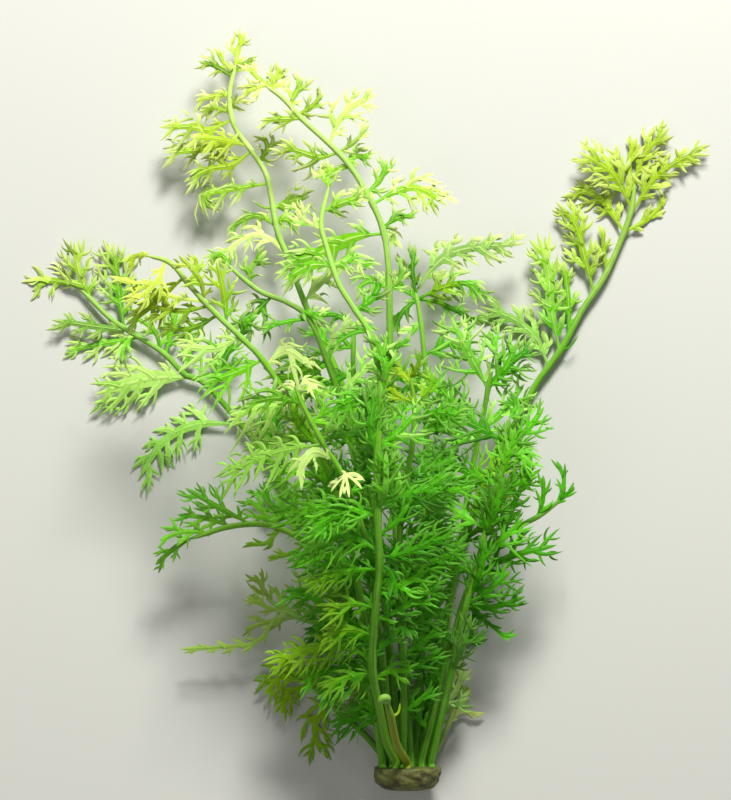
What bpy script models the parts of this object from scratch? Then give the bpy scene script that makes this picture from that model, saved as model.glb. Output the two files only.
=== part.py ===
"""A water sprite laid on its back, as picked: a crown, nineteen fronds and their cut leaves.

X runs to the right, Y from the crown to the frond tips and Z up from the surface. The tables are in
millimetres from the middle of the crown's top; the model itself is in metres.
"""
import math
from dataclasses import dataclass, field

import bmesh
import bpy
from mathutils import Matrix, Vector

MM = 0.001
GAP = 0.3
CROWN_WIDTH = 24.5
CROWN_DEPTH = 21.4
CROWN_LENGTH = 8.5
CROWN_TOP = 2.3
LEAF_THICKNESS = 1.0
STALK_STEP = 17.0
LOBE_SPACING = 9.0
LOBE_LEAN = 0.75
KEPT_FACETS = 0.45
GREEN = (0.10, 0.36, 0.03)
LIME = (0.32, 0.62, 0.08)
BROWN = (0.16, 0.20, 0.03)


@dataclass
class Leaf:
    """One cut leaf: its midrib seen from above, its half width and how far its tip lifts."""

    axis: list
    half_width: float
    lift: float = 0.0
    name: str = ""


@dataclass
class Frond:
    """One frond: a tapered stalk along a route and the leaves on it."""

    name: str
    base_diameter: float
    tip_diameter: float
    route: list
    leaves: list = field(default_factory=list)
    bud_diameter: float = 0.0


FRONDS = [
    Frond(
        "long_left",
        base_diameter=2.9,
        tip_diameter=1.7,
        route=[
            (-4.2, 2.6, 3.2), (-12, 30, 3), (-20, 55, 2.6), (-28, 75, 2.4), (-38, 90, 2.4),
            (-44.2, 102.3, 2.6), (-55.6, 119, 3), (-71.7, 137.8, 3), (-79, 141.2, 3),
            (-87, 149.2, 3), (-96.4, 155.3, 3), (-105.8, 161.3, 2.6), (-114.5, 170, 2.2),
            (-119, 174, 2),
        ],
        leaves=[
            Leaf([(-118, 173), (-127, 175), (-134, 171.3)], 5, -1),
            Leaf([(-112.5, 168), (-117, 178), (-118.5, 188.7)], 6, 1),
            Leaf([(-101.5, 158.5), (-103, 172), (-104.8, 188.4)], 6.5, 0),
            Leaf([(-99, 157), (-112, 158.6), (-126.5, 160.8)], 4.3, -1, name="side_3"),
            Leaf([(-95.5, 154.5), (-108, 152.5), (-122, 150)], 4, -1),
            Leaf([(-97, 155.7), (-101, 151.5), (-101.5, 146)], 2.5, 0),
            Leaf([(-86, 148), (-84, 157), (-81.7, 165.3)], 4, 1),
            Leaf([(-88, 150), (-90, 157), (-98, 162.5)], 3.5, 2),
            Leaf([(-79.5, 141.6), (-77.5, 150), (-77.4, 159)], 3.5, 1),
            Leaf([(-77, 140.4), (-90, 140), (-101, 137.5), (-111.5, 134)], 9.5, -1, name="side_4"),
            Leaf([(-59, 123.2), (-75, 123.5), (-87, 117.5), (-96, 104)], 8, -1, name="side_5"),
            Leaf([(-70, 136.4), (-66, 145), (-61, 155)], 6, 2),
            Leaf([(-50, 111), (-49, 121), (-44, 132)], 6, 1),
            Leaf([(-37, 88.5), (-45, 92), (-54, 101)], 5, 0),
        ],
    ),
    Frond(
        "right_tall",
        base_diameter=2.8,
        tip_diameter=1.9,
        route=[
            (3.6, 2.6, 3.2), (9, 30, 3), (15, 60, 2.6), (23, 90, 2.6), (32, 112, 2.6),
            (41, 128.2, 2.8), (45.8, 137.8, 3), (52.8, 147.4, 3), (56.2, 152.6, 3), (62.8, 165, 3),
            (70.2, 176, 3), (76, 188.7, 2.6), (79.7, 199, 2.4), (81.2, 209.3, 2.2),
        ],
        leaves=[
            Leaf([(50.5, 145), (46, 154), (38, 161), (26, 165.5)], 6, 1, name="comb"),
            Leaf([(53.6, 149.6), (51, 165), (50, 178), (46, 192)], 6, 3, name="inner_1"),
            Leaf([(57, 155), (57.5, 167), (56, 182)], 4.5, 1),
            Leaf([(66.2, 171), (63.9, 180), (59.8, 194.5), (53, 203)], 5.5, -1, name="inner_3"),
            Leaf([(71, 178), (70, 186), (70, 194)], 2.5, 1),
            Leaf([(81, 209), (84, 219), (93.4, 229.5)], 4.5, -1),
            Leaf([(80.8, 207), (79, 217), (82, 226)], 3.5, 2),
            Leaf([(79.2, 200), (73, 213), (61, 220.5)], 6, 2, name="top_left"),
            Leaf([(77, 193), (69, 204), (58, 208)], 5, 0),
            Leaf([(79.5, 198), (88.5, 211.5), (99.6, 218.8), (108, 219.6)], 4.5, -1, name="outer_1"),
            Leaf([(77.5, 193), (86, 197), (93, 204.5)], 3, -1),
            Leaf([(54, 149), (58, 151.5), (61, 155.5)], 0.8, 1),
            Leaf([(10.5, 38), (17, 44), (26, 49)], 4, 0),
        ],
    ),
    Frond(
        "low_left",
        base_diameter=2.6,
        tip_diameter=1.6,
        route=[
            (-7.8, 2.6, 3), (-14, 11.8, 3), (-20, 17.7, 2.8), (-27, 24, 2.6), (-33, 30, 2.6),
            (-40, 34, 2.6),
        ],
        leaves=[
            Leaf([(-39, 33.5), (-43, 37), (-44, 41)], 3, -1),
            Leaf([(-35, 31), (-42, 28), (-45, 20)], 4, 0),
            Leaf([(-28, 25), (-33, 16), (-31, 6)], 6, -1),
            Leaf([(-31, 28), (-32, 35), (-30, 42)], 5, 2),
            Leaf([(-22, 19.5), (-16, 25), (-19, 32)], 4.5, 1),
            Leaf([(-38.5, 33.6), (-46, 33), (-51, 27)], 4, 0),
            Leaf([(-25, 22.4), (-29, 29), (-37, 38)], 4, 1),
        ],
    ),
    Frond(
        "pale_right",
        base_diameter=2.2,
        tip_diameter=1.2,
        route=[
            (8.4, 2.6, 3.4), (10.5, 8, 3.6), (15, 17.6, 4), (17.7, 26, 4), (18.3, 35.8, 4),
            (20.9, 45.5, 4),
        ],
        leaves=[
            Leaf([(15.5, 19), (20, 21.5), (26.5, 19.5)], 2, 0),
            Leaf([(18, 29), (20, 30), (21.5, 27)], 1.5, 0),
            Leaf([(18.2, 33), (16, 37), (18.5, 41)], 1.8, 1),
        ],
    ),
    Frond(
        "tall_left",
        base_diameter=3,
        tip_diameter=1.6,
        route=[
            (-0.6, 2.6, 3.4), (-5, 30, 7), (-8, 60, 9), (-12, 90, 11), (-18, 120, 12),
            (-24.6, 141.5, 13), (-36, 165.8, 13), (-42, 182, 14), (-46, 192, 14), (-48, 203, 14),
            (-50, 212, 14), (-54.4, 219.4, 14), (-61.3, 229.3, 13), (-63, 240, 12), (-61, 251, 11),
        ],
        leaves=[
            Leaf([(-61, 250), (-60, 257), (-57.5, 263)], 4, -1),
            Leaf([(-62.3, 246), (-68, 250.5), (-74, 252.3)], 3.5, -1),
            Leaf([(-62, 248), (-66, 253), (-67, 257)], 2.5, 1),
            Leaf([(-61, 249), (-57, 252), (-53.5, 253)], 2, 0),
            Leaf([(-63, 240), (-69, 240), (-75.3, 238.4)], 4, -1),
            Leaf([(-62.3, 236), (-59, 239), (-56, 241)], 3, 1),
            Leaf([(-61.8, 234), (-68, 235.8), (-74, 234.6)], 2.5, -1),
            Leaf([(-62, 230.6), (-70, 228), (-77, 229), (-88, 229)], 5, -2, name="side_1"),
            Leaf([(-60.4, 225.8), (-70, 221.5), (-85.5, 220)], 5.5, -2),
            Leaf([(-55.6, 219), (-62, 215.5), (-70, 214), (-79, 209.5)], 5, -2, name="side_3"),
            Leaf([(-51.6, 209), (-62, 207), (-72, 204.5), (-67, 198.5)], 4, -3),
            Leaf([(-53, 216), (-49.5, 221), (-51, 226)], 4, 2),
            Leaf([(-46.2, 200), (-42, 202.5), (-34.5, 204.4)], 6, 2, name="side_5"),
            Leaf([(-47, 197), (-43, 196), (-38, 194)], 3.5, -1),
            Leaf([(-46.5, 194.5), (-53, 197.5), (-60, 195), (-64, 190)], 3, -2),
            Leaf([(-43.6, 182), (-49, 189.5), (-57, 190), (-69.5, 180)], 4, -2, name="side_6"),
            Leaf([(-48, 201), (-51, 200.5), (-55, 203)], 0.8, 1),
            Leaf([(-27.8, 144), (-34, 144), (-44, 150)], 7, 0),
            Leaf([(-57.5, 222.5), (-67, 224.5), (-77, 225)], 4.5, 6),
            Leaf([(-37, 168), (-31, 174), (-23, 179)], 5.5, 0),
            Leaf([(-10, 75), (-18, 81), (-27, 86)], 6, 0),
            Leaf([(-13.5, 97), (-22, 104), (-31, 112)], 6, 0),
            Leaf([(-7, 50), (-14, 57), (-21, 64)], 5, 0),
            Leaf([(-4.5, 27), (-10, 34), (-17, 40)], 4, 0),
        ],
    ),
    Frond(
        "right_centre",
        base_diameter=2.8,
        tip_diameter=1.6,
        route=[
            (3, 2.6, 7), (4, 30, 11), (5, 60, 14), (6, 100, 16), (7, 130, 18), (5.6, 151.3, 20),
            (4, 164, 20), (2.8, 170, 20),
        ],
        leaves=[
            Leaf([(4.9, 171.4), (9.5, 179.6), (19, 185.3), (41.8, 187.8)], 5.5, -3, name="right_1"),
            Leaf([(4, 169), (13, 172), (21, 173), (27.4, 165.8)], 4.6, 3),
            Leaf([(3.2, 167), (10, 167), (17.7, 163.5), (26.3, 158.5)], 3.5, -3),
            Leaf([(3, 168.5), (-2.5, 173), (-1.5, 182.6)], 3.5, -1),
            Leaf([(3.3, 168), (-2, 163), (-5, 156)], 3.5, 0),
            Leaf([(2.8, 169.8), (1.6, 178), (2.6, 187)], 3, 3),
            Leaf([(4.8, 160), (1, 157), (-3, 157)], 2, 1),
            Leaf([(4.8, 56), (9, 62), (11, 72)], 5, 0),
            Leaf([(5.4, 86), (10, 92), (12, 102)], 5, 0),
            Leaf([(6.7, 120), (12, 127), (15, 137)], 5.5, 0),
            Leaf([(6.6, 135), (-2, 140), (-12, 146)], 6, -2),
            Leaf([(6, 148), (14, 152), (23, 155)], 5.5, 0),
            Leaf([(5.4, 92), (-3, 98), (-12, 103)], 6, 2),
            Leaf([(4.8, 50), (-3, 57), (-10, 64)], 5, 0),
            Leaf([(3.7, 22), (8, 28), (9, 38)], 4, 0),
        ],
    ),
    Frond(
        "tall_arch",
        base_diameter=3.1,
        tip_diameter=1.7,
        route=[
            (1.2, 2.6, 10.4), (-0.5, 30, 16), (-3, 60, 20), (-4.5, 100, 24), (-6, 140, 27),
            (-6.5, 167.5, 28), (-6.9, 180, 28), (-9, 193, 27), (-15.3, 206.5, 26),
            (-23.3, 218, 25), (-36.7, 230.6, 24), (-43.4, 238, 23), (-50, 243, 22),
        ],
        leaves=[
            Leaf([(-49, 242.5), (-54, 247), (-57.5, 251)], 3.5, -1),
            Leaf([(-49, 243), (-53, 242), (-58, 240)], 3, 0),
            Leaf([(-47.5, 242), (-46, 246.5), (-44.7, 249.7)], 3.5, 1),
            Leaf([(-38.4, 230.8), (-45, 231), (-52, 230.5)], 4, -1),
            Leaf([(-40.6, 237), (-39, 241), (-37, 246)], 4.5, 0),
            Leaf([(-39, 233), (-34, 235), (-29.5, 240)], 3.5, 1),
            Leaf([(-26.4, 223), (-25, 229), (-20, 235), (-11, 240)], 5.5, 0, name="right_2"),
            Leaf([(-24, 219), (-18.5, 223), (-13.5, 229)], 3, 2),
            Leaf([(-22, 216.5), (-18, 218), (-12.5, 217.5)], 3.5, -1),
            Leaf([(-25.4, 217.6), (-31, 217.5), (-38, 219.5), (-46, 222)], 5, -1, name="left_2"),
            Leaf([(-21, 214.5), (-27, 213), (-33, 212.5)], 3, -2),
            Leaf([(-9.4, 201.4), (-4, 205.5), (4, 206.5), (14, 200.5)], 6, -2, name="right_3"),
            Leaf([(-14, 205), (-9.5, 210), (-7.3, 217)], 4.5, 2),
            Leaf([(-7.2, 193.6), (-3, 196.3), (3, 196.5)], 3.5, 0),
            Leaf([(-8.6, 191), (-5, 190), (-4, 186)], 2.5, -2),
            Leaf([(-12, 200), (-15, 204), (-21, 206)], 3, 1),
            Leaf([(-10, 189.5), (-20, 189), (-33, 183), (-47, 180)], 8.5, -1, name="left_3"),
            Leaf([(-6.8, 172), (-3, 174), (-1, 179)], 3, 1),
            Leaf([(-8.4, 170.5), (-13, 174), (-18.5, 171)], 4.5, 0),
            Leaf([(-6, 150), (-2, 152), (1, 154)], 2, 1),
            Leaf([(-5.5, 126), (1, 133), (6, 143)], 5, 0),
            Leaf([(0, 20), (-4, 27), (-5, 37)], 4, 0),
            Leaf([(-1.4, 38), (4, 44), (6, 54)], 4.5, 0),
        ],
    ),
    Frond(
        "middle_left",
        base_diameter=2.8,
        tip_diameter=1.6,
        route=[
            (-2.6, 2.6, 10), (-5, 30, 19), (-8, 60, 25), (-13, 100, 31), (-18.8, 138, 35),
            (-19, 155, 36), (-21, 161, 36),
        ],
        leaves=[
            Leaf([(-20.5, 160), (-26, 162), (-33, 161)], 3, 0),
            Leaf([(-20, 158), (-15, 158.5), (-12, 156)], 2.5, 0),
            Leaf([(-20.6, 150), (-27, 151.5), (-35, 158)], 6, -1),
            Leaf([(-20.3, 141), (-27, 138.5), (-36, 136)], 6, 0, name="left_2"),
            Leaf([(-17, 141), (-12, 136), (-6, 128)], 5, -1),
            Leaf([(-16.4, 115), (-24, 121), (-36, 126)], 7, -1),
            Leaf([(-9.5, 72), (-16, 80), (-24, 87)], 5.5, 0),
            Leaf([(-12.3, 95), (-20, 102), (-29, 110)], 6, 0),
            Leaf([(-8, 60), (-3, 67), (1, 77)], 4.5, 0),
        ],
    ),
    Frond(
        "inner_left",
        base_diameter=3,
        tip_diameter=1.6,
        route=[
            (-6.2, 2.6, 9.8), (-9, 30, 20), (-12, 60, 29), (-15, 90, 36), (-20, 120, 41),
            (-28, 145, 44), (-34.5, 160.5, 44), (-42.6, 166.4, 44), (-51.3, 169.9, 44),
            (-60, 176.8, 43), (-63, 179.8, 42),
        ],
        leaves=[
            Leaf([(-62, 179), (-65, 182.5), (-69.5, 180.5)], 3, -1),
            Leaf([(-54.4, 173.6), (-54.5, 178), (-49, 184)], 4, 1),
            Leaf([(-47.6, 166.6), (-52, 163.5), (-57.5, 156)], 5.5, -1, name="down_1"),
            Leaf([(-38, 164), (-33, 162), (-28, 162.5)], 3, 1),
            Leaf([(-34, 159.5), (-42, 159.5), (-52, 156.5)], 2.5, 1),
            Leaf([(-28, 149.5), (-24.5, 155), (-19.5, 160.5)], 4, 0),
            Leaf([(-29.7, 144.5), (-37, 142), (-48, 138)], 6.5, -1, name="left_1"),
            Leaf([(-22.2, 121), (-31, 124), (-42, 124)], 6.5, -1),
            Leaf([(-12.2, 62), (-20, 69), (-29, 73)], 6, 0),
            Leaf([(-14, 84), (-22, 91), (-31, 100)], 6, 0),
            Leaf([(-24, 134), (-17, 141), (-9, 149)], 5.5, 0),
            Leaf([(-8.8, 30), (-16, 38), (-26, 40)], 4.5, 0),
            Leaf([(-10.5, 46), (-18, 50), (-28, 52), (-36, 50)], 5, 0),
            Leaf([(-21, 124), (-14, 131), (-6, 137)], 5.5, 0),
            Leaf([(-7.6, 17), (-14, 21), (-22, 23)], 4, 0),
        ],
    ),
    Frond(
        "low_frond",
        base_diameter=2.6,
        tip_diameter=1.6,
        route=[
            (-9, 2.6, 6.6), (-11.5, 20, 10), (-15, 38, 14), (-20, 47, 15), (-28, 52, 15),
            (-40, 56, 14), (-50, 62, 12),
        ],
        leaves=[
            Leaf([(-48, 60.5), (-51, 65), (-54.5, 70.5)], 3.5, -1),
            Leaf([(-43, 57.5), (-50, 59), (-57, 63)], 2.5, -2),
            Leaf([(-36, 54.5), (-44, 60), (-47, 66.6)], 3, 1),
            Leaf([(-33.4, 55.4), (-38, 60), (-41, 67)], 3, 0),
            Leaf([(-26.6, 53.2), (-32, 60), (-37.4, 72)], 4.5, 1, name="up_2"),
            Leaf([(-21.4, 50), (-25, 58), (-28.5, 68)], 4, 0),
            Leaf([(-40, 54.4), (-48, 54), (-58, 51)], 4, -1),
            Leaf([(-46, 58), (-53, 47), (-63, 45), (-80.6, 44)], 2.4, -4),
            Leaf([(-20, 47), (-28, 43), (-42, 42)], 4, -2),
            Leaf([(-17, 42), (-24, 36), (-33, 33)], 4, -2),
            Leaf([(-12, 22), (-19, 23), (-27, 20)], 4, 0),
        ],
    ),
    Frond(
        "lower_left",
        base_diameter=3,
        tip_diameter=1.8,
        route=[
            (-5.2, 2.6, 6.6), (-10, 30, 15), (-13, 50, 20), (-19, 66, 24), (-28, 77.5, 26),
            (-38, 84, 27), (-49, 88.5, 27), (-62, 88, 26), (-76.5, 83.5, 24),
        ],
        leaves=[
            Leaf([(-76, 83.6), (-83, 79.5), (-88.9, 74.2)], 4, -2),
            Leaf([(-70, 85.5), (-79, 86), (-87.2, 83)], 3.5, 0),
            Leaf([(-63, 89.6), (-72, 91), (-81, 92)], 4, 0),
            Leaf([(-56, 90.2), (-66, 94.5), (-78, 101.5)], 4.5, 1, name="up_2"),
            Leaf([(-47, 89.6), (-52, 94), (-57, 98)], 4.5, -1),
            Leaf([(-45, 86.5), (-50, 82), (-57, 82)], 2.5, -1),
            Leaf([(-35, 82), (-42, 78), (-49.4, 77)], 2.5, 0),
            Leaf([(-38, 86), (-41, 92), (-37, 101)], 7, 1, name="up_4"),
            Leaf([(-28, 78), (-34, 76), (-40, 76)], 2.5, -1),
            Leaf([(-27.4, 80), (-27, 90), (-31, 103)], 7, -1, name="up_5"),
            Leaf([(-17.8, 62.5), (-23, 63.5), (-28, 60)], 4, 0),
            Leaf([(-11.5, 40), (-19, 47), (-29, 53)], 4.5, 0),
        ],
    ),
    Frond(
        "right_back",
        base_diameter=2.8,
        tip_diameter=1.6,
        route=[
            (6.6, 2.6, 7), (11, 30, 14), (15, 60, 20), (19, 85, 24), (23, 110, 26), (27, 130, 27),
            (30, 147, 27),
        ],
        leaves=[
            Leaf([(29.8, 146), (30.5, 151), (28.5, 157)], 4.5, -1),
            Leaf([(26.6, 137), (21, 149), (15, 161)], 9, 2.4, name="left_1"),
            Leaf([(29.6, 135), (34, 143), (38.5, 153)], 6.5, 3),
            Leaf([(24, 123), (15, 132), (6, 144)], 8.5, 0, name="left_2"),
            Leaf([(26.4, 120), (33, 128), (41, 138)], 7.5, -1, name="right_2"),
            Leaf([(22.8, 101), (31, 110), (41, 120)], 7.5, -1, name="right_3"),
            Leaf([(19.6, 100), (11, 106), (3, 116)], 7, 0),
            Leaf([(20, 82), (27, 89), (35, 99)], 5.5, 0),
            Leaf([(14, 52), (8, 59), (4, 69)], 5, 0),
            Leaf([(16.5, 68), (9, 74), (2, 83)], 5.5, 0),
            Leaf([(21, 93), (30, 99), (40, 103)], 6, 0),
            Leaf([(28.5, 139), (37, 146), (45, 152)], 5.5, 0),
            Leaf([(24, 116), (16, 121), (8, 128)], 5.5, -3),
            Leaf([(9, 18), (15, 23), (22, 27)], 4, 0),
        ],
    ),
    Frond(
        "right_low",
        base_diameter=3,
        tip_diameter=1.6,
        route=[
            (5, 2.6, 10.6), (10, 24, 18), (13.5, 40, 23), (17.4, 54, 27), (21, 66, 30),
            (27, 79, 33), (36, 86.5, 34), (46, 92, 34), (54, 98, 33),
        ],
        leaves=[
            Leaf([(33, 86.4), (37, 96), (41, 105), (43.5, 114)], 4, -1),
            Leaf([(43.4, 92.4), (47, 98), (47, 106)], 3, 0),
            Leaf([(53, 97), (54.5, 104), (52, 111)], 2.5, 0),
            Leaf([(53, 97), (56, 100), (58, 102)], 2, 0),
            Leaf([(24.6, 71), (36, 77.5), (52, 81.5)], 5.5, -1, name="side_1"),
            Leaf([(21, 58.4), (31, 60), (41, 63.5)], 4.5, -1),
            Leaf([(18, 56), (26, 55.5), (34, 49.5), (38.7, 50)], 2, -3),
            Leaf([(15.5, 47), (21, 47.5), (27.5, 48.8)], 3, -2),
            Leaf([(13.5, 41), (10, 38), (6.5, 28)], 3.5, 1),
            Leaf([(15.6, 47), (23, 56), (27, 67)], 4.5, 0),
            Leaf([(12, 35), (5, 40), (-3, 44)], 4.5, 1.5),
            Leaf([(34, 85.5), (30, 93), (27, 102)], 4.5, 0),
            Leaf([(7.8, 15), (4.5, 19), (3.5, 27)], 3, 3),
        ],
    ),
    Frond(
        "right_front",
        base_diameter=2.7,
        tip_diameter=1.6,
        route=[
            (8.6, 2.6, 10.4), (14, 30, 22), (19, 55, 32), (24, 75, 39), (29, 95, 44),
            (33, 112, 47), (35, 126, 48),
        ],
        leaves=[
            Leaf([(35, 125), (37, 130), (34, 133.5)], 4, 0),
            Leaf([(32.2, 117.5), (24, 123), (11, 128)], 6.5, -1, name="left_1"),
            Leaf([(29.5, 103), (19, 108), (6, 116)], 6, -1),
            Leaf([(34.6, 112), (39, 113), (44, 108.5)], 4, -1),
            Leaf([(25.7, 88), (16, 94), (5, 101)], 6.5, -1, name="left_3"),
            Leaf([(21.2, 72), (13, 78), (5, 87)], 6.5, 0),
            Leaf([(17, 46), (10, 51), (3, 61)], 5, 0),
            Leaf([(20, 60), (28, 66), (36, 73)], 5, 0),
            Leaf([(24.5, 77), (32, 83), (40, 91)], 5.5, 0),
            Leaf([(29.4, 97), (37, 103), (45, 106)], 5, 1),
            Leaf([(34, 117), (41, 122), (47, 130)], 5.5, 0),
            Leaf([(15.2, 36), (19, 46), (22, 58)], 4.5, 11.5),
            Leaf([(20, 60), (25, 72), (27, 84)], 5, 10),
            Leaf([(25.7, 83), (30, 94), (33, 106)], 5, 7.5),
            Leaf([(30.5, 102), (34, 112), (37, 123)], 5, 5),
            Leaf([(12.2, 24), (17, 30), (20, 39)], 4, 3),
        ],
    ),
    Frond(
        "yellow_left",
        base_diameter=2.8,
        tip_diameter=1.7,
        route=[
            (-8.8, 2.6, 13), (-12, 30, 28), (-16, 60, 40), (-22, 90, 49), (-31, 115, 54),
            (-48, 143, 56), (-57, 153.2, 56), (-65.6, 161.3, 55), (-75, 171.3, 54),
            (-82, 179.5, 53), (-90, 182, 52),
        ],
        leaves=[
            Leaf([(-89, 182), (-94, 182), (-97, 178)], 2.5, -1),
            Leaf([(-71.9, 165.6), (-80, 167.5), (-90, 171), (-103.5, 175)], 3, -2),
            Leaf([(-69, 165), (-79, 163), (-95.4, 166)], 3.5, -3),
            Leaf([(-58.5, 154.5), (-56, 159), (-51.5, 161.5)], 4, 1),
            Leaf([(-76, 172.5), (-73, 177), (-74, 182.5)], 3, 0),
            Leaf([(-62, 160.6), (-63.5, 168), (-66, 180)], 5.5, 0),
            Leaf([(-59.2, 153), (-67, 150), (-80, 151)], 7, -1, name="left_2"),
            Leaf([(-51.8, 145), (-60, 141.5), (-71, 138)], 7, 0, name="left_3"),
            Leaf([(-48, 146), (-42, 149.5), (-33, 143)], 5, 0),
            Leaf([(-43.4, 131), (-52, 129), (-62, 127)], 6.5, -1),
            Leaf([(-41, 133.7), (-34, 136), (-26, 133)], 5, -1),
            Leaf([(-34.8, 116.6), (-44, 118), (-55, 119)], 5.5, 0),
            Leaf([(-17.5, 68), (-27, 74), (-39, 78)], 6, 0),
            Leaf([(-21, 87), (-31, 90), (-44, 97)], 6, 0),
            Leaf([(-14, 45), (-22, 51), (-34, 53)], 5, 0),
            Leaf([(-27, 105), (-36, 107), (-48, 108)], 5.5, 0),
            Leaf([(-65, 161), (-75, 157), (-87, 157)], 4, -6),
            Leaf([(-13, 36), (-21, 38), (-31, 37), (-38, 33)], 4.5, 0),
            Leaf([(-15, 52), (-24, 58), (-35, 64), (-44, 66)], 5, 2),
            Leaf([(-84, 180.5), (-86, 174), (-92, 168), (-99, 166)], 4, 3),
            Leaf([(-78, 175), (-84, 169), (-91, 163), (-98, 158)], 4.5, -4),
            Leaf([(-70, 166), (-72, 174), (-79, 182)], 4, 3),
            Leaf([(-23, 93), (-28, 103), (-32, 114)], 5.5, 7),
            Leaf([(-31.5, 116), (-38, 124), (-42, 134)], 5, 4),
            Leaf([(-10.6, 18), (-18, 20), (-27, 17)], 4, 2),
        ],
    ),
    Frond(
        "crossing",
        base_diameter=2.7,
        tip_diameter=1.6,
        route=[
            (-5.2, 2.6, 13.4), (-7.5, 30, 32), (-11, 60, 47), (-15, 85, 58), (-22, 105, 64),
            (-29, 117, 66), (-36, 130, 66), (-39, 137, 66),
        ],
        leaves=[
            Leaf([(-38.5, 136), (-42, 136), (-45, 131)], 4, -1),
            Leaf([(-38, 134), (-35, 138), (-31, 136)], 3, 0),
            Leaf([(-30.8, 116.4), (-48, 113.5), (-65, 105.5)], 6, -2, name="left_1"),
            Leaf([(-27.2, 110.6), (-33, 114.5), (-38.5, 106)], 5, 4),
            Leaf([(-28.6, 120), (-18, 120.5), (-5, 122)], 5, -1),
            Leaf([(-23.4, 109), (-21.8, 106.8), (-21.4, 100.6)], 6.5, 4, name="starfish"),
            Leaf([(-20.4, 101), (-14, 108), (-6, 114)], 4, -1),
            Leaf([(-17.5, 88.5), (-26, 95), (-40, 95)], 7, -1, name="left_3"),
            Leaf([(-13.5, 68.5), (-22, 76), (-38, 83)], 7, 3),
            Leaf([(-9, 45), (-16, 50), (-27, 51)], 4.5, 0),
            Leaf([(-33, 125), (-26, 129), (-15, 131)], 5, 0),
            Leaf([(-36, 131), (-45, 133), (-56, 131)], 5, 0),
            Leaf([(-12, 65), (-7, 71), (-5, 80)], 4, -2),
            Leaf([(-8, 35), (-15, 35), (-24, 33), (-32, 28)], 4, 0),
            Leaf([(-11, 62), (-12, 72), (-14, 84)], 4.5, 12),
            Leaf([(-6.3, 18), (-11, 23), (-18, 27)], 4, 6),
        ],
    ),
    Frond(
        "centre",
        base_diameter=2.7,
        tip_diameter=1.6,
        route=[
            (-1.4, 2.6, 13.6), (-1.5, 30, 30), (-2, 60, 44), (-3, 85, 53), (-2, 100, 57),
            (1, 115, 60), (2, 130, 61), (0.5, 140, 61),
        ],
        leaves=[
            Leaf([(1, 138), (-3, 142), (-7.5, 147)], 3.5, 0),
            Leaf([(0.5, 139), (3, 144), (4, 149)], 3, 1),
            Leaf([(1.8, 132), (-4, 134), (-9, 139)], 3.5, 1),
            Leaf([(2, 131), (7, 136), (9, 142)], 4, -1),
            Leaf([(-0.4, 116.5), (-8, 123), (-17, 130)], 6.5, -1),
            Leaf([(3, 119), (10, 124), (17, 133)], 6.5, -1),
            Leaf([(-4, 98), (-10, 106), (-15, 116)], 5.5, -1),
            Leaf([(0.6, 105), (8, 109), (17, 113)], 6, 0, name="right_2"),
            Leaf([(-3, 90), (-3, 97), (-2, 105)], 4, 4),
            Leaf([(-1, 84), (5, 89), (13, 93)], 6, -1, name="right_3"),
            Leaf([(-4.4, 78), (-12, 84), (-21, 93)], 6, 0),
            Leaf([(-0.2, 62), (6, 68), (14, 79)], 6, -1),
            Leaf([(-1.8, 53), (4, 56), (13, 63)], 4.5, -2),
            Leaf([(-1.8, 58), (-5, 64), (-5, 72)], 4, -1),
            Leaf([(-2.6, 70), (4, 75), (12, 78), (21, 83)], 5, 6),
            Leaf([(-3, 92), (5, 98), (14, 101), (23, 103)], 5, 5),
            Leaf([(-1.5, 44), (4, 47), (11, 54)], 4, 3),
            Leaf([(1.8, 124), (9, 128), (19, 127)], 5, 3),
            Leaf([(-1.2, 108), (-8, 112), (-18, 117)], 5.5, -3),
            Leaf([(-1.5, 36), (5, 41), (12, 46)], 4.5, 0),
            Leaf([(-2, 60), (0, 70), (-1, 82)], 4.5, 11),
            Leaf([(-3, 86), (-1, 96), (0, 107)], 4.5, 8),
            Leaf([(-1.4, 22), (3, 26), (9, 32)], 3.5, 4),
        ],
    ),
    Frond(
        "front_middle",
        base_diameter=3,
        tip_diameter=1.7,
        route=[
            (-4, 2.6, 17.4), (-7.4, 12, 24), (-10, 24.8, 33), (-12.4, 38.6, 42), (-11.7, 56, 52),
            (-10, 74.5, 61), (-10.6, 90, 67), (-10.9, 111, 72), (-9.6, 135, 75), (-13, 153.6, 75),
            (-18.8, 163.5, 73), (-24, 172, 71), (-28, 184, 68), (-30, 193, 66), (-27.5, 205, 63),
        ],
        leaves=[
            Leaf([(-27.7, 204), (-28, 208), (-26, 213)], 4, -1),
            Leaf([(-27.6, 196), (-23, 199.5), (-15.5, 202)], 5, -1),
            Leaf([(-29.8, 191), (-36, 194), (-40, 200)], 4, 0),
            Leaf([(-27.8, 178), (-34, 178), (-43, 173)], 5.5, -1),
            Leaf([(-24, 178.4), (-19, 180), (-12, 177)], 4, -1),
            Leaf([(-17.2, 163.5), (-12.5, 167), (-9, 174)], 4.5, -1),
            Leaf([(-14, 155.5), (-19, 155), (-26, 151)], 3, 0),
            Leaf([(-12, 150), (-8, 146), (-5, 147)], 3, 0),
            Leaf([(-12, 134), (-20, 132), (-28, 128)], 6, -1),
            Leaf([(-12.6, 92), (-16, 94), (-21, 96)], 4, 0),
            Leaf([(-11.8, 73.5), (-18, 74), (-26, 72), (-37, 68)], 4, -2, name="left_4"),
            Leaf([(-10.2, 77), (-6, 73), (-4, 64)], 3, -2),
            Leaf([(-11, 68), (-8.5, 67.5), (-5.5, 66.5)], 1.2, 1),
            Leaf([(-12, 44), (-6, 50), (-2, 54), (1.5, 49.5)], 3.5, 3),
            Leaf([(-14.2, 40.5), (-20, 46), (-32, 45.5), (-50, 40)], 5, -8, name="left_5"),
            Leaf([(-11.5, 60), (-19, 62), (-30, 60)], 4.5, -3),
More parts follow.
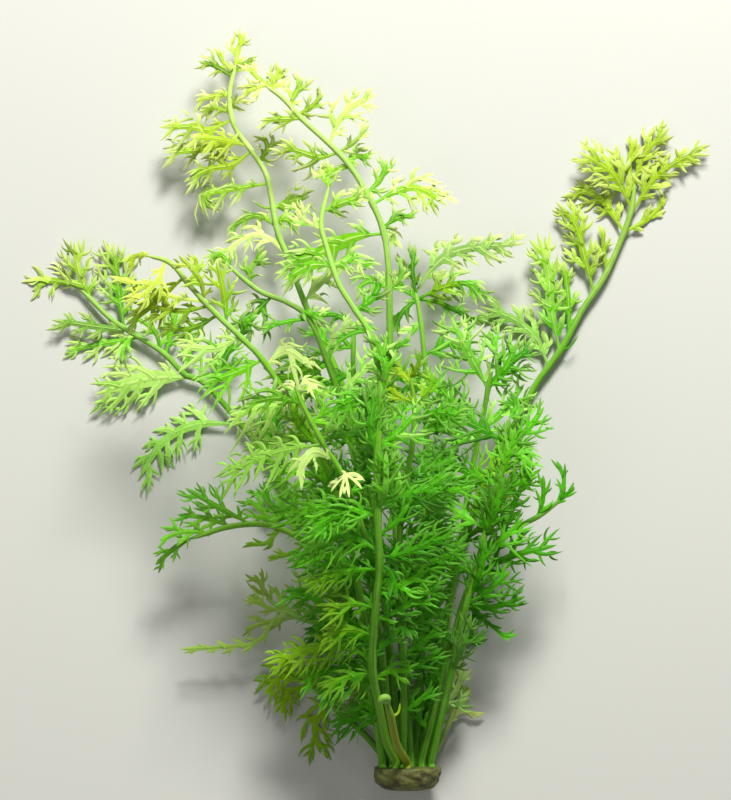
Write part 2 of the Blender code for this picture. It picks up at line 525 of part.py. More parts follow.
            Leaf([(-10.5, 117), (-3, 122), (5, 131)], 5, 0),
            Leaf([(-10.6, 86), (-5, 90), (0, 97)], 4, 1),
            Leaf([(-11.6, 56), (-3, 60), (6, 66), (13, 68)], 5, 0),
            Leaf([(-10.2, 78), (-1, 80), (8, 84), (17, 86)], 5.5, 0),
            Leaf([(-10.8, 97), (-2, 99), (7, 103), (15, 108)], 5.5, 0),
            Leaf([(-10.7, 93), (-18, 94), (-27, 92), (-34, 87)], 5, 0),
            Leaf([(-10.3, 81), (-18, 85), (-27, 86), (-35, 83)], 5, 0),
            Leaf([(-12, 50), (-20, 53), (-30, 51)], 4.5, -2),
            Leaf([(-12.2, 35), (-6, 38), (2, 38)], 4, 0),
            Leaf([(-12.4, 38), (-21, 36), (-30, 32)], 4.5, -4),
            Leaf([(-10, 66), (-2, 69), (7, 74)], 5, 2),
            Leaf([(-10.6, 92), (-8, 103), (-8, 115)], 5, 8),
            Leaf([(-10.7, 113), (-13, 124), (-11, 137)], 5.5, 5),
            Leaf([(-9.6, 133), (-8, 143), (-12, 155)], 5, 3),
        ],
    ),
    Frond(
        "fiddlehead",
        base_diameter=3,
        tip_diameter=2.6,
        route=[
            (-0.2, 2.6, 17.6), (-4, 12, 30), (-6, 22, 39), (-8, 28.5, 45),
        ],
        leaves=[
            Leaf([(-6, 22), (-3.5, 23.5), (-2.8, 27)], 1.2, 1),
        ],
        bud_diameter=5.2,
    ),
]


def smooth(points, step):
    """Return points of a Catmull-Rom curve through the given ones, about one step apart."""
    given = [Vector(p) for p in points]
    ends = [given[0] * 2 - given[1], *given, given[-1] * 2 - given[-2]]
    dense = []
    for a, b, c, d in zip(ends, ends[1:], ends[2:], ends[3:]):
        for k in range(12):
            t = k / 12
            dense.append(0.5 * (2 * b + (c - a) * t + (2 * a - 5 * b + 4 * c - d) * t * t
                                + (3 * b - a - 3 * c + d) * t * t * t))
    dense.append(given[-1])
    along = [0.0]
    for a, b in zip(dense, dense[1:]):
        along.append(along[-1] + (b - a).length)
    count = max(2, round(along[-1] / step) + 1)
    result = []
    k = 0
    for i in range(count):
        wanted = along[-1] * i / (count - 1)
        while k < len(dense) - 2 and along[k + 1] < wanted:
            k += 1
        span = max(along[k + 1] - along[k], 1e-9)
        result.append(dense[k].lerp(dense[k + 1], min(max((wanted - along[k]) / span, 0.0), 1.0)))
    return result


def chords(points, step):
    """Return points about one step apart on the straight runs between the given ones."""
    result = []
    for a, b in zip(points, points[1:]):
        count = max(1, round((b - a).length / step))
        result += [a.lerp(b, k / count) for k in range(count)]
    return result + [points[-1]]


def tangents(points):
    """Return a unit direction at each point of a path."""
    last = len(points) - 1
    return [(points[min(i + 1, last)] - points[max(i - 1, 0)]).normalized() for i in range(last + 1)]


def diameter_at(frond, share):
    """Return the stalk's diameter at a share of its length."""
    return frond.base_diameter + (frond.tip_diameter - frond.base_diameter) * share


def material(name, colour, roughness):
    """Return a plain material."""
    made = bpy.data.materials.new(name)
    made.use_nodes = True
    shader = made.node_tree.nodes["Principled BSDF"]
    shader.inputs["Base Color"].default_value = (*colour, 1.0)
    shader.inputs["Roughness"].default_value = roughness
    return made


def stalk_path(frond):
    """Return a stalk's corners: a short straight foot square to the crown, then its curved route."""
    foot = Vector(frond.route[0])
    knee = foot + Vector((0.0, 1.8, 0.0))
    return [foot, *smooth([knee, *frond.route[1:]], STALK_STEP)]


def stalk_object(frond, collection):
    """Return a frond's stalk: a tapered tube along its route, made a mesh with welded caps."""
    points = stalk_path(frond)
    curve = bpy.data.curves.new(frond.name + "_curve", "CURVE")
    curve.dimensions = "3D"
    curve.bevel_depth = MM
    curve.bevel_resolution = 1
    curve.use_fill_caps = True
    spline = curve.splines.new("POLY")
    spline.points.add(len(points) - 1)
    for k, (point, place) in enumerate(zip(spline.points, points)):
        point.co = (*(place * MM), 1.0)
        point.radius = diameter_at(frond, k / (len(points) - 1)) / 2
    guide = bpy.data.objects.new(frond.name + "_guide", curve)
    collection.objects.link(guide)
    bpy.context.view_layer.update()
    graph = bpy.context.evaluated_depsgraph_get()
    mesh = bpy.data.meshes.new_from_object(guide.evaluated_get(graph))
    body = bmesh.new()
    body.from_mesh(mesh)
    bmesh.ops.remove_doubles(body, verts=body.verts, dist=0.00001)
    bmesh.ops.recalc_face_normals(body, faces=body.faces)
    body.to_mesh(mesh)
    body.free()
    stalk = bpy.data.objects.new(frond.name, mesh)
    stalk.matrix_world = guide.matrix_world
    collection.objects.link(stalk)
    bpy.data.objects.remove(guide)
    return stalk


def leaf_path(frond, leaf, order):
    """Return a leaf's midrib in space: from its stalk, or a gap off it when it is a piece of its own."""
    stalk = chords(stalk_path(frond), 0.5)
    start = Vector((*leaf.axis[0], 0.0))
    near = min(range(len(stalk)), key=lambda k: (Vector((stalk[k].x, stalk[k].y, 0.0)) - start).length)
    root = stalk[near]
    radius = diameter_at(frond, near / (len(stalk) - 1)) / 2
    way = Vector((leaf.axis[1][0] - root.x, leaf.axis[1][1] - root.y, 0.0)).normalized()
    run = tangents(stalk)[near]
    crossing = max(abs(run.x * way.y - run.y * way.x), 0.4)
    clear = 0.2
    if leaf.name:
        clear = (radius + GAP + 0.15 + 0.8 * abs(run.dot(way))) / crossing
    sway = 2.2 if order % 2 else -1.4
    points = [root + way * clear]
    total = sum(math.dist(a, b) for a, b in zip(leaf.axis, leaf.axis[1:]))
    done = 0.0
    for a, b in zip(leaf.axis, leaf.axis[1:]):
        done += math.dist(a, b)
        share = done / total
        points.append(Vector((b[0], b[1], root.z + (leaf.lift + sway) * share ** 0.55)))
    return points


def leaf_mesh(frond, leaf, order):
    """Return a leaf's mesh: a strip along its midrib whose sides are drawn out into pointed lobes."""
    guide = leaf_path(frond, leaf, order)
    length = sum((b - a).length for a, b in zip(guide, guide[1:]))
    count = min(max(round(length / LOBE_SPACING), 2), 5)
    path = smooth(guide, length / (count + 1))
    while len(path) < count + 2:
        path.append(path[-1] * 2 - path[-2])
    path = path[: count + 2]
    runs = tangents(path)
    roll = math.radians(9 * math.sin(2.4 * order + len(frond.name)))
    frames = []
    for run in runs:
        side = Vector((0, 0, 1)).cross(run).normalized()
        up = run.cross(side)
        frames.append((side * math.cos(roll) + up * math.sin(roll), up * math.cos(roll) - side * math.sin(roll)))
    body = bmesh.new()
    bmesh.ops.create_grid(body, x_segments=count, y_segments=1, size=0.5)
    flat = list(body.faces)
    made = bmesh.ops.extrude_face_region(body, geom=flat)
    top = {v for v in made["geom"] if isinstance(v, bmesh.types.BMVert)}
    wing = min(0.55 + 0.15 * leaf.half_width, 0.11 * length + 0.4)
    stations = {}
    for vert in body.verts:
        k = min(round((vert.co.x + 0.5) * count), count)
        stations[vert] = (k, 1 if vert.co.y > 0 else -1, 1 if vert in top else -1)
    for vert, (k, hand, level) in stations.items():
        side, up = frames[k]
        share = k / count
        width = 0.75 + (wing - 0.75) * math.sin(math.pi * min(share * 0.75 + 0.12, 1.0))
        vert.co = path[k] + side * hand * width + up * level * LEAF_THICKNESS / 2
    bmesh.ops.recalc_face_normals(body, faces=body.faces)
    walls = [f for f in body.faces if len({stations[v][2] for v in f.verts}) == 2]
    lobes = []
    for wall in walls:
        places = [stations[v] for v in wall.verts]
        hands = {p[1] for p in places}
        k = min(p[0] for p in places)
        if len(hands) == 2:
            if k == count:
                lobes.append((wall, path[-1] + Vector((0, 0, 0.2)), 0))
            continue
        lobes.append((wall, None, (k, hands.pop())))
    for wall, tip, place in lobes:
        if tip is None:
            k, hand = place
            share = (k + 0.5) / count
            reach = leaf.half_width * (0.62 + 0.38 * math.sin(math.pi * min(share * 1.15 + 0.1, 1.0)))
            middle = (path[k] + path[k + 1]) / 2
            run = (path[k + 1] - path[k]).normalized()
            side, up = frames[k]
            reach *= 1.0 if k else 0.62
            tip = middle + side * hand * reach + run * LOBE_LEAN * reach - up * 0.016 * reach * reach
        poked = bmesh.ops.poke(body, faces=[wall])
        poked["verts"][0].co = tip
    for vert in body.verts:
        vert.co.z = max(vert.co.z, 0.0)
    bmesh.ops.scale(body, vec=Vector((MM, MM, MM)), verts=body.verts)
    bmesh.ops.triangulate(body, faces=body.faces)
    bmesh.ops.recalc_face_normals(body, faces=body.faces)
    mesh = bpy.data.meshes.new(frond.name + "_leaf")
    body.to_mesh(mesh)
    body.free()
    return mesh


def bud_mesh(frond):
    """Return the mesh of the ball that a young frond's coiled tip makes, round the end of its stalk."""
    body = bmesh.new()
    bmesh.ops.create_uvsphere(body, u_segments=8, v_segments=6, radius=frond.bud_diameter / 2 * MM)
    place = Matrix.Translation(Vector(frond.route[-1]) * MM)
    bmesh.ops.transform(body, matrix=place, verts=body.verts)
    mesh = bpy.data.meshes.new(frond.name + "_bud")
    body.to_mesh(mesh)
    body.free()
    return mesh


def crown_object(collection, look):
    """Return the crown: a short oval knob of rootstock with a rounded root end, lying on the surface."""
    body = bmesh.new()
    bmesh.ops.create_cone(body, cap_ends=True, segments=18, radius1=0.43, radius2=0.5, depth=1.0)
    rim = [e for e in body.edges if all(v.co.z < 0 for v in e.verts)]
    bmesh.ops.bevel(body, geom=rim, offset=0.26, segments=2, profile=0.5, affect="EDGES")
    turn = Matrix.Rotation(math.radians(-90), 4, "X")
    bmesh.ops.transform(body, matrix=turn, verts=body.verts)
    size = Matrix.Diagonal((CROWN_WIDTH * MM, CROWN_LENGTH * MM, CROWN_DEPTH * MM, 1.0))
    bmesh.ops.transform(body, matrix=size, verts=body.verts)
    mesh = bpy.data.meshes.new("crown")
    body.to_mesh(mesh)
    body.free()
    mesh.materials.append(look)
    crown = bpy.data.objects.new("crown", mesh)
    crown.location = (-0.1 * MM, (CROWN_TOP - CROWN_LENGTH / 2) * MM, CROWN_DEPTH / 2 * MM)
    collection.objects.link(crown)
    return crown


def join_later(name, mesh, collection):
    """Put a mesh in a collection whose objects are joined to a stalk and not shown by themselves."""
    piece = bpy.data.objects.new(name, mesh)
    piece.display_type = "WIRE"
    piece.hide_render = True
    collection.objects.link(piece)


def main():
    """Build the plant and set its origin under the middle of its bounding box."""
    for old in list(bpy.data.objects):
        bpy.data.objects.remove(old)
    plant = bpy.data.collections.new("water_sprite")
    joined = bpy.data.collections.new("joined_leaves")
    bpy.context.scene.collection.children.link(plant)
    bpy.context.scene.collection.children.link(joined)
    joined.hide_render = True
    stalk_look = material("stalk", GREEN, 0.4)
    leaf_look = material("leaf", LIME, 0.45)
    crown_look = material("rootstock", BROWN, 0.7)
    parts = [crown_object(plant, crown_look)]
    for frond in FRONDS:
        stalk = stalk_object(frond, plant)
        stalk.data.materials.append(stalk_look)
        parts.append(stalk)
        own = bpy.data.collections.new(frond.name + "_leaves")
        joined.children.link(own)
        for order, leaf in enumerate(frond.leaves):
            mesh = leaf_mesh(frond, leaf, order)
            mesh.materials.append(leaf_look)
            if leaf.name:
                piece = bpy.data.objects.new(frond.name + "_" + leaf.name, mesh)
                plant.objects.link(piece)
                parts.append(piece)
                continue
            join_later(frond.name + "_joined", mesh, own)
        if frond.bud_diameter:
            mesh = bud_mesh(frond)
            mesh.materials.append(leaf_look)
            join_later(frond.name + "_bud", mesh, own)
        if own.objects:
            union = stalk.modifiers.new("join leaves", "BOOLEAN")
            union.operation = "UNION"
            union.operand_type = "COLLECTION"
            union.collection = own
            union.solver = "EXACT"
            fewer = stalk.modifiers.new("fewer facets", "DECIMATE")
            fewer.ratio = KEPT_FACETS
    bpy.context.view_layer.update()
    graph = bpy.context.evaluated_depsgraph_get()
    corners = []
    for part in parts:
        shown = part.evaluated_get(graph)
        corners += [part.matrix_world @ v.co for v in shown.data.vertices]
    low = Vector([min(c[k] for c in corners) for k in range(3)])
    high = Vector([max(c[k] for c in corners) for k in range(3)])
    shift = Vector((-(low.x + high.x) / 2, -(low.y + high.y) / 2, -low.z))
    root = bpy.data.objects.new("water_sprite_root", None)
    plant.objects.link(root)
    for part in parts + [o for c in joined.children for o in c.objects]:
        part.parent = root
    root.location = shift


main()
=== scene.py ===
"""Dresses a picked water sprite: fleshy frond stalks, finely cut leaves and a short rootstock.

The tables are in millimetres from the middle of the crown's top, as the solids were drawn, with x to
the right, y towards the frond tips and z up from the surface that the plant lies on.
"""

from __future__ import annotations

import logging
import math
from dataclasses import dataclass, field
from enum import Enum
from typing import Sequence

import bpy
import numpy as np
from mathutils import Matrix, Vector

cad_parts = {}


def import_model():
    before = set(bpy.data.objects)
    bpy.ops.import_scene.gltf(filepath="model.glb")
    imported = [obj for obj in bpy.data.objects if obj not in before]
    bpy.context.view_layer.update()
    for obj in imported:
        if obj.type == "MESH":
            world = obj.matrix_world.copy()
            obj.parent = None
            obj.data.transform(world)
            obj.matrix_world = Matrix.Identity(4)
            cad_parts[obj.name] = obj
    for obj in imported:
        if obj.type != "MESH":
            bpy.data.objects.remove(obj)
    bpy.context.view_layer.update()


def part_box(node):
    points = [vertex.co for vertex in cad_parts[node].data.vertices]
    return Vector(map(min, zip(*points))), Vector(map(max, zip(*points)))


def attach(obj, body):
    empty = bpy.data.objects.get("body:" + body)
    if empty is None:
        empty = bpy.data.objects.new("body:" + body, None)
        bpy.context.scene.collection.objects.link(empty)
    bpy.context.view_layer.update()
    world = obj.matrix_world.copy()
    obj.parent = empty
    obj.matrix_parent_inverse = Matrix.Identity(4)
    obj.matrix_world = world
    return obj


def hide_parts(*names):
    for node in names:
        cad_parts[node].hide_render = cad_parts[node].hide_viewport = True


LOG = logging.getLogger("water_sprite")
MM = 0.001
FULL_TURN = 2 * math.pi
UPWARDS = np.array([0.0, 0.0, 1.0])
SPAN_CUTS = 16
SEEDS_A_FROND = 1000
SHARP_ANGLE = math.radians(55.0)
Pair = tuple[float, float]
Colour = tuple[float, float, float]

# The crown's top and middle in the tables, in millimetres, and its middle in the frame, in metres
CROWN_TOP = 2.3
CROWN_MIDDLE = -0.1
CROWN_ASIDE = 0.013

# The least gap to the floor and the least half width of a leaf with lobes, in millimetres
FLOOR_GAP = 0.12
LEAST_LOBED = 1.3

# Where along y the lobes begin to stand looser, and over how many millimetres they do so
LOOSE_FROM = 105.0
LOOSE_OVER = 55.0


@dataclass(frozen=True)
class Leaf:
    """One cut leaf: its midrib seen from above, its half width and how far its tip lifts.

    Rays is the number of fingers of a small hand, pale how far the leaf is paled towards cream, partly its
    own lost green and partly painted highlight, web how far its lobes grow together at the midrib, from 0 to
    1, and loose how far apart they stand, from 0 to 2.
    """

    axis: Sequence[tuple[float, float]]
    half_width: float
    lift: float
    name: str = ""
    rays: int = 0
    pale: float = 0.0
    web: float = 0.0
    loose: float = 0.0


def leaf(*numbers: float, **looks: float | str) -> Leaf:
    """Make a leaf from its midrib's x and y in turn, its half width and its lift."""
    *axis, half_width, lift = numbers
    return Leaf(tuple(zip(axis[::2], axis[1::2])), half_width, lift, **looks)


@dataclass(frozen=True)
class Frond:
    """One frond: a tapered stalk along a route and the leaves on it.

    Curl is how strongly its lobes hang, pale how far it is paled towards cream, partly its own lost green
    and partly painted highlight, loose how far apart its lobes stand, and top_highlight how far the upper
    end of its stalk pales, a painted highlight. Broad scales the width of its lobes.
    """

    name: str
    base_diameter: float
    tip_diameter: float
    route: Sequence[tuple[float, float, float]]
    leaves: Sequence[Leaf]
    bud_diameter: float = 0.0
    curl: float = 0.012
    pale: float = 0.0
    broad: float = 1.0
    loose: float = 0.0
    top_highlight: float = 0.3


FRONDS: tuple[Frond, ...] = (
    Frond("long_left", 2.9, 1.7, loose=1, curl=0.004, route=(
        (-4.2, 2.6, 3.2), (-12, 30, 3), (-20, 55, 2.6), (-28, 75, 2.4), (-38, 90, 2.4), (-44.2, 102.3, 2.6),
        (-55.6, 119, 3), (-71.7, 137.8, 3), (-79, 141.2, 3), (-87, 149.2, 3), (-96.4, 155.3, 3),
        (-105.8, 161.3, 2.6), (-114.5, 170, 2.2), (-119, 174, 2),
    ), leaves=(
        leaf(-118, 173, -127, 175, -134, 171.3, 5, -1), leaf(-112.5, 168, -117, 178, -118.5, 188.7, 6, 1),
        leaf(-101.5, 158.5, -103, 172, -104.8, 188.4, 6.5, 0),
        leaf(-99, 157, -112, 158.6, -126.5, 160.8, 4.3, -1, name="side_3", web=0.5, loose=1.5, pale=0.12),
        leaf(-95.5, 154.5, -108, 152.5, -122, 150, 4, -1),
        leaf(-97, 155.7, -101, 151.5, -101.5, 146, 2.5, 0), leaf(-86, 148, -84, 157, -81.7, 165.3, 4, 1),
        leaf(-88, 150, -90, 157, -98, 162.5, 3.5, 2), leaf(-79.5, 141.6, -77.5, 150, -77.4, 159, 3.5, 1),
        leaf(-77, 140.4, -90, 140, -101, 137.5, -111.5, 134, 9.5, -1, name="side_4", web=0.85, pale=0.1),
        leaf(
            -59, 123.2, -75, 123.5, -87, 117.5, -96, 104, 8, -1,
            name="side_5", web=0.35, loose=2, pale=0.16,
        ),
        leaf(-70, 136.4, -66, 145, -61, 155, 6, 2), leaf(-50, 111, -49, 121, -44, 132, 6, 1),
        leaf(-37, 88.5, -45, 92, -54, 101, 5, 0),
    )),
    Frond("right_tall", 2.8, 1.9, broad=1.2, curl=0.006, top_highlight=0.05, route=(
        (3.6, 2.6, 3.2), (9, 30, 3), (15, 60, 2.6), (23, 90, 2.6), (32, 112, 2.6), (41, 128.2, 2.8),
        (45.8, 137.8, 3), (52.8, 147.4, 3), (56.2, 152.6, 3), (62.8, 165, 3), (70.2, 176, 3),
        (76, 188.7, 2.6), (79.7, 199, 2.4), (81.2, 209.3, 2.2),
    ), leaves=(
        leaf(50.5, 145, 46, 154, 38, 161, 26, 165.5, 6, 1, name="comb", pale=0.22, web=0.3),
        leaf(53.6, 149.6, 51, 165, 50, 178, 46, 192, 6, 3, name="inner_1", web=0.45),
        leaf(57, 155, 57.5, 167, 56, 182, 4.5, 1),
        leaf(66.2, 171, 63.9, 180, 59.8, 194.5, 53, 203, 5.5, -1, name="inner_3"),
        leaf(71, 178, 70, 186, 70, 194, 2.5, 1), leaf(81, 209, 84, 219, 93.4, 229.5, 4.5, -1),
        leaf(80.8, 207, 79, 217, 82, 226, 3.5, 2),
        leaf(79.2, 200, 73, 213, 61, 220.5, 6, 2, name="top_left"), leaf(77, 193, 69, 204, 58, 208, 5, 0),
        leaf(79.5, 198, 88.5, 211.5, 99.6, 218.8, 108, 219.6, 4.5, -1, name="outer_1"),
        leaf(77.5, 193, 86, 197, 93, 204.5, 3, -1), leaf(54, 149, 58, 151.5, 61, 155.5, 0.8, 1),
        leaf(10.5, 38, 17, 44, 26, 49, 4, 0),
    )),
    Frond("low_left", 2.6, 1.6, route=(
        (-7.8, 2.6, 3), (-14, 11.8, 3), (-20, 17.7, 2.8), (-27, 24, 2.6), (-33, 30, 2.6), (-40, 34, 2.6),
    ), leaves=(
        leaf(-39, 33.5, -43, 37, -44, 41, 3, -1), leaf(-35, 31, -42, 28, -45, 20, 4, 0),
        leaf(-28, 25, -33, 16, -31, 6, 6, -1), leaf(-31, 28, -32, 35, -30, 42, 5, 2),
        leaf(-22, 19.5, -16, 25, -19, 32, 4.5, 1), leaf(-38.5, 33.6, -46, 33, -51, 27, 4, 0),
        leaf(-25, 22.4, -29, 29, -37, 38, 4, 1),
    )),
    Frond("pale_right", 2.2, 1.2, pale=0.45, broad=1.2, route=(
        (8.4, 2.6, 3.4), (10.5, 8, 3.6), (15, 17.6, 4), (17.7, 26, 4), (18.3, 35.8, 4), (20.9, 45.5, 4),
    ), leaves=(
        leaf(15.5, 19, 20, 21.5, 26.5, 19.5, 2, 0), leaf(18, 29, 20, 30, 21.5, 27, 1.5, 0),
        leaf(18.2, 33, 16, 37, 18.5, 41, 1.8, 1),
    )),
    Frond("tall_left", 3, 1.6, broad=0.92, curl=0.045, route=(
        (-0.6, 2.6, 3.4), (-5, 30, 7), (-8, 60, 9), (-12, 90, 11), (-18, 120, 12), (-24.6, 141.5, 13),
        (-36, 165.8, 13), (-42, 182, 14), (-46, 192, 14), (-48, 203, 14), (-50, 212, 14),
        (-54.4, 219.4, 14), (-61.3, 229.3, 13), (-63, 240, 12), (-61, 251, 11),
    ), leaves=(
        leaf(-61, 250, -60, 257, -57.5, 263, 4, -1), leaf(-62.3, 246, -68, 250.5, -74, 252.3, 3.5, -1),
        leaf(-62, 248, -66, 253, -67, 257, 2.5, 1), leaf(-61, 249, -57, 252, -53.5, 253, 2, 0),
        leaf(-63, 240, -69, 240, -75.3, 238.4, 4, -1), leaf(-62.3, 236, -59, 239, -56, 241, 3, 1),
        leaf(-61.8, 234, -68, 235.8, -74, 234.6, 2.5, -1),
        leaf(-62, 230.6, -70, 228, -77, 229, -88, 229, 5, -2, name="side_1"),
        leaf(-60.4, 225.8, -70, 221.5, -85.5, 220, 5.5, -2),
        leaf(-55.6, 219, -62, 215.5, -70, 214, -79, 209.5, 5, -2, name="side_3"),
        leaf(-51.6, 209, -62, 207, -72, 204.5, -67, 198.5, 4, -3),
        leaf(-53, 216, -49.5, 221, -51, 226, 4, 2),
        leaf(-46.2, 200, -42, 202.5, -34.5, 204.4, 6, 2, name="side_5"),
        leaf(-47, 197, -43, 196, -38, 194, 3.5, -1),
        leaf(-46.5, 194.5, -53, 197.5, -60, 195, -64, 190, 3, -2),
        leaf(-43.6, 182, -49, 189.5, -57, 190, -69.5, 180, 4, -2, name="side_6"),
        leaf(-48, 201, -51, 200.5, -55, 203, 0.8, 1), leaf(-27.8, 144, -34, 144, -44, 150, 7, 0),
        leaf(-57.5, 222.5, -67, 224.5, -77, 225, 4.5, 6),
        leaf(-37, 168, -31, 174, -23, 179, 5.5, 0, web=0.6), leaf(-10, 75, -18, 81, -27, 86, 6, 0),
        leaf(-13.5, 97, -22, 104, -31, 112, 6, 0), leaf(-7, 50, -14, 57, -21, 64, 5, 0),
        leaf(-4.5, 27, -10, 34, -17, 40, 4, 0),
    )),
    Frond("right_centre", 2.8, 1.6, broad=1.2, route=(
        (3, 2.6, 7), (4, 30, 11), (5, 60, 14), (6, 100, 16), (7, 130, 18), (5.6, 151.3, 20), (4, 164, 20),
        (2.8, 170, 20),
    ), leaves=(
        leaf(4.9, 171.4, 9.5, 179.6, 19, 185.3, 41.8, 187.8, 5.5, -3, name="right_1", web=0.6, pale=0.2),
        leaf(4, 169, 13, 172, 21, 173, 27.4, 165.8, 4.6, 3),
        leaf(3.2, 167, 10, 167, 17.7, 163.5, 26.3, 158.5, 3.5, -3),
        leaf(3, 168.5, -2.5, 173, -1.5, 182.6, 3.5, -1), leaf(3.3, 168, -2, 163, -5, 156, 3.5, 0),
        leaf(2.8, 169.8, 1.6, 178, 2.6, 187, 3, 3), leaf(4.8, 160, 1, 157, -3, 157, 2, 1),
        leaf(4.8, 56, 9, 62, 11, 72, 5, 0), leaf(5.4, 86, 10, 92, 12, 102, 5, 0),
        leaf(6.7, 120, 12, 127, 15, 137, 5.5, 0), leaf(6.6, 135, -2, 140, -12, 146, 6, -2),
        leaf(6, 148, 14, 152, 23, 155, 5.5, 0), leaf(5.4, 92, -3, 98, -12, 103, 6, 2),
        leaf(4.8, 50, -3, 57, -10, 64, 5, 0), leaf(3.7, 22, 8, 28, 9, 38, 4, 0),
    )),
    Frond("tall_arch", 3.1, 1.7, broad=0.98, route=(
        (1.2, 2.6, 10.4), (-0.5, 30, 16), (-3, 60, 20), (-4.5, 100, 24), (-6, 140, 27), (-6.5, 167.5, 28),
        (-6.9, 180, 28), (-9, 193, 27), (-15.3, 206.5, 26), (-23.3, 218, 25), (-36.7, 230.6, 24),
        (-43.4, 238, 23), (-50, 243, 22),
    ), leaves=(
        leaf(-49, 242.5, -54, 247, -57.5, 251, 3.5, -1), leaf(-49, 243, -53, 242, -58, 240, 3, 0),
        leaf(-47.5, 242, -46, 246.5, -44.7, 249.7, 3.5, 1), leaf(-38.4, 230.8, -45, 231, -52, 230.5, 4, -1),
        leaf(-40.6, 237, -39, 241, -37, 246, 4.5, 0), leaf(-39, 233, -34, 235, -29.5, 240, 3.5, 1),
        leaf(-26.4, 223, -25, 229, -20, 235, -11, 240, 5.5, 0, name="right_2", pale=0.08),
        leaf(-24, 219, -18.5, 223, -13.5, 229, 3, 2), leaf(-22, 216.5, -18, 218, -12.5, 217.5, 3.5, -1),
        leaf(-25.4, 217.6, -31, 217.5, -38, 219.5, -46, 222, 5, -1, name="left_2"),
        leaf(-21, 214.5, -27, 213, -33, 212.5, 3, -2),
        leaf(-9.4, 201.4, -4, 205.5, 4, 206.5, 14, 200.5, 6, -2, name="right_3"),
        leaf(-14, 205, -9.5, 210, -7.3, 217, 4.5, 2), leaf(-7.2, 193.6, -3, 196.3, 3, 196.5, 3.5, 0),
        leaf(-8.6, 191, -5, 190, -4, 186, 2.5, -2), leaf(-12, 200, -15, 204, -21, 206, 3, 1),
        leaf(-10, 189.5, -20, 189, -33, 183, -47, 180, 8.5, -1, name="left_3", web=0.7),
        leaf(-6.8, 172, -3, 174, -1, 179, 3, 1), leaf(-8.4, 170.5, -13, 174, -18.5, 171, 4.5, 0),
        leaf(-6, 150, -2, 152, 1, 154, 2, 1), leaf(-5.5, 126, 1, 133, 6, 143, 5, 0),
        leaf(0, 20, -4, 27, -5, 37, 4, 0), leaf(-1.4, 38, 4, 44, 6, 54, 4.5, 0),
    )),
    Frond("middle_left", 2.8, 1.6, route=(
        (-2.6, 2.6, 10), (-5, 30, 19), (-8, 60, 25), (-13, 100, 31), (-18.8, 138, 35), (-19, 155, 36),
        (-21, 161, 36),
    ), leaves=(
        leaf(-20.5, 160, -26, 162, -33, 161, 3, 0), leaf(-20, 158, -15, 158.5, -12, 156, 2.5, 0),
        leaf(-20.6, 150, -27, 151.5, -35, 158, 6, -1),
        leaf(-20.3, 141, -27, 138.5, -36, 136, 6, 0, name="left_2"),
        leaf(-17, 141, -12, 136, -6, 128, 5, -1), leaf(-16.4, 115, -24, 121, -36, 126, 7, -1),
        leaf(-9.5, 72, -16, 80, -24, 87, 5.5, 0), leaf(-12.3, 95, -20, 102, -29, 110, 6, 0),
        leaf(-8, 60, -3, 67, 1, 77, 4.5, 0),
    )),
    Frond("inner_left", 3, 1.6, curl=0.025, route=(
        (-6.2, 2.6, 9.8), (-9, 30, 20), (-12, 60, 29), (-15, 90, 36), (-20, 120, 41), (-28, 145, 44),
        (-34.5, 160.5, 44), (-42.6, 166.4, 44), (-51.3, 169.9, 44), (-60, 176.8, 43), (-63, 179.8, 42),
    ), leaves=(
        leaf(-62, 179, -65, 182.5, -69.5, 180.5, 3, -1), leaf(-54.4, 173.6, -54.5, 178, -49, 184, 4, 1),
        leaf(-47.6, 166.6, -52, 163.5, -57.5, 156, 5.5, -1, name="down_1"),
        leaf(-38, 164, -33, 162, -28, 162.5, 3, 1), leaf(-34, 159.5, -42, 159.5, -52, 156.5, 2.5, 1),
        leaf(-28, 149.5, -24.5, 155, -19.5, 160.5, 4, 0),
        leaf(-29.7, 144.5, -37, 142, -48, 138, 6.5, -1, name="left_1"),
        leaf(-22.2, 121, -31, 124, -42, 124, 6.5, -1, loose=0.7, pale=0.12),
        leaf(-12.2, 62, -20, 69, -29, 73, 6, 0), leaf(-14, 84, -22, 91, -31, 100, 6, 0),
        leaf(-24, 134, -17, 141, -9, 149, 5.5, 0), leaf(-8.8, 30, -16, 38, -26, 40, 4.5, 0),
        leaf(-10.5, 46, -18, 50, -28, 52, -36, 50, 5, 0), leaf(-21, 124, -14, 131, -6, 137, 5.5, 0),
        leaf(-7.6, 17, -14, 21, -22, 23, 4, 0),
    )),
    Frond("low_frond", 2.6, 1.6, loose=1, broad=0.95, curl=-0.012, pale=0.2, route=(
        (-9, 2.6, 6.6), (-11.5, 20, 10), (-15, 38, 14), (-20, 47, 15), (-28, 52, 15), (-40, 56, 14),
        (-50, 62, 12),
    ), leaves=(
        leaf(-48, 60.5, -51, 65, -54.5, 70.5, 3.5, -1), leaf(-43, 57.5, -50, 59, -57, 63, 2.5, -2),
        leaf(-36, 54.5, -44, 60, -47, 66.6, 3, 1), leaf(-33.4, 55.4, -38, 60, -41, 67, 3, 0),
        leaf(-26.6, 53.2, -32, 60, -37.4, 72, 4.5, 1, name="up_2"),
        leaf(-21.4, 50, -25, 58, -28.5, 68, 4, 0), leaf(-40, 54.4, -48, 54, -58, 51, 4, -1),
        leaf(-46, 58, -53, 47, -63, 45, -80.6, 44, 2.4, -4), leaf(-20, 47, -28, 43, -42, 42, 4, -2),
        leaf(-17, 42, -24, 36, -33, 33, 4, -2), leaf(-12, 22, -19, 23, -27, 20, 4, 0),
    )),
    Frond("lower_left", 3, 1.8, loose=0.8, broad=0.95, curl=-0.004, pale=0.05, route=(
        (-5.2, 2.6, 6.6), (-10, 30, 15), (-13, 50, 20), (-19, 66, 24), (-28, 77.5, 26), (-38, 84, 27),
        (-49, 88.5, 27), (-62, 88, 26), (-76.5, 83.5, 24),
    ), leaves=(
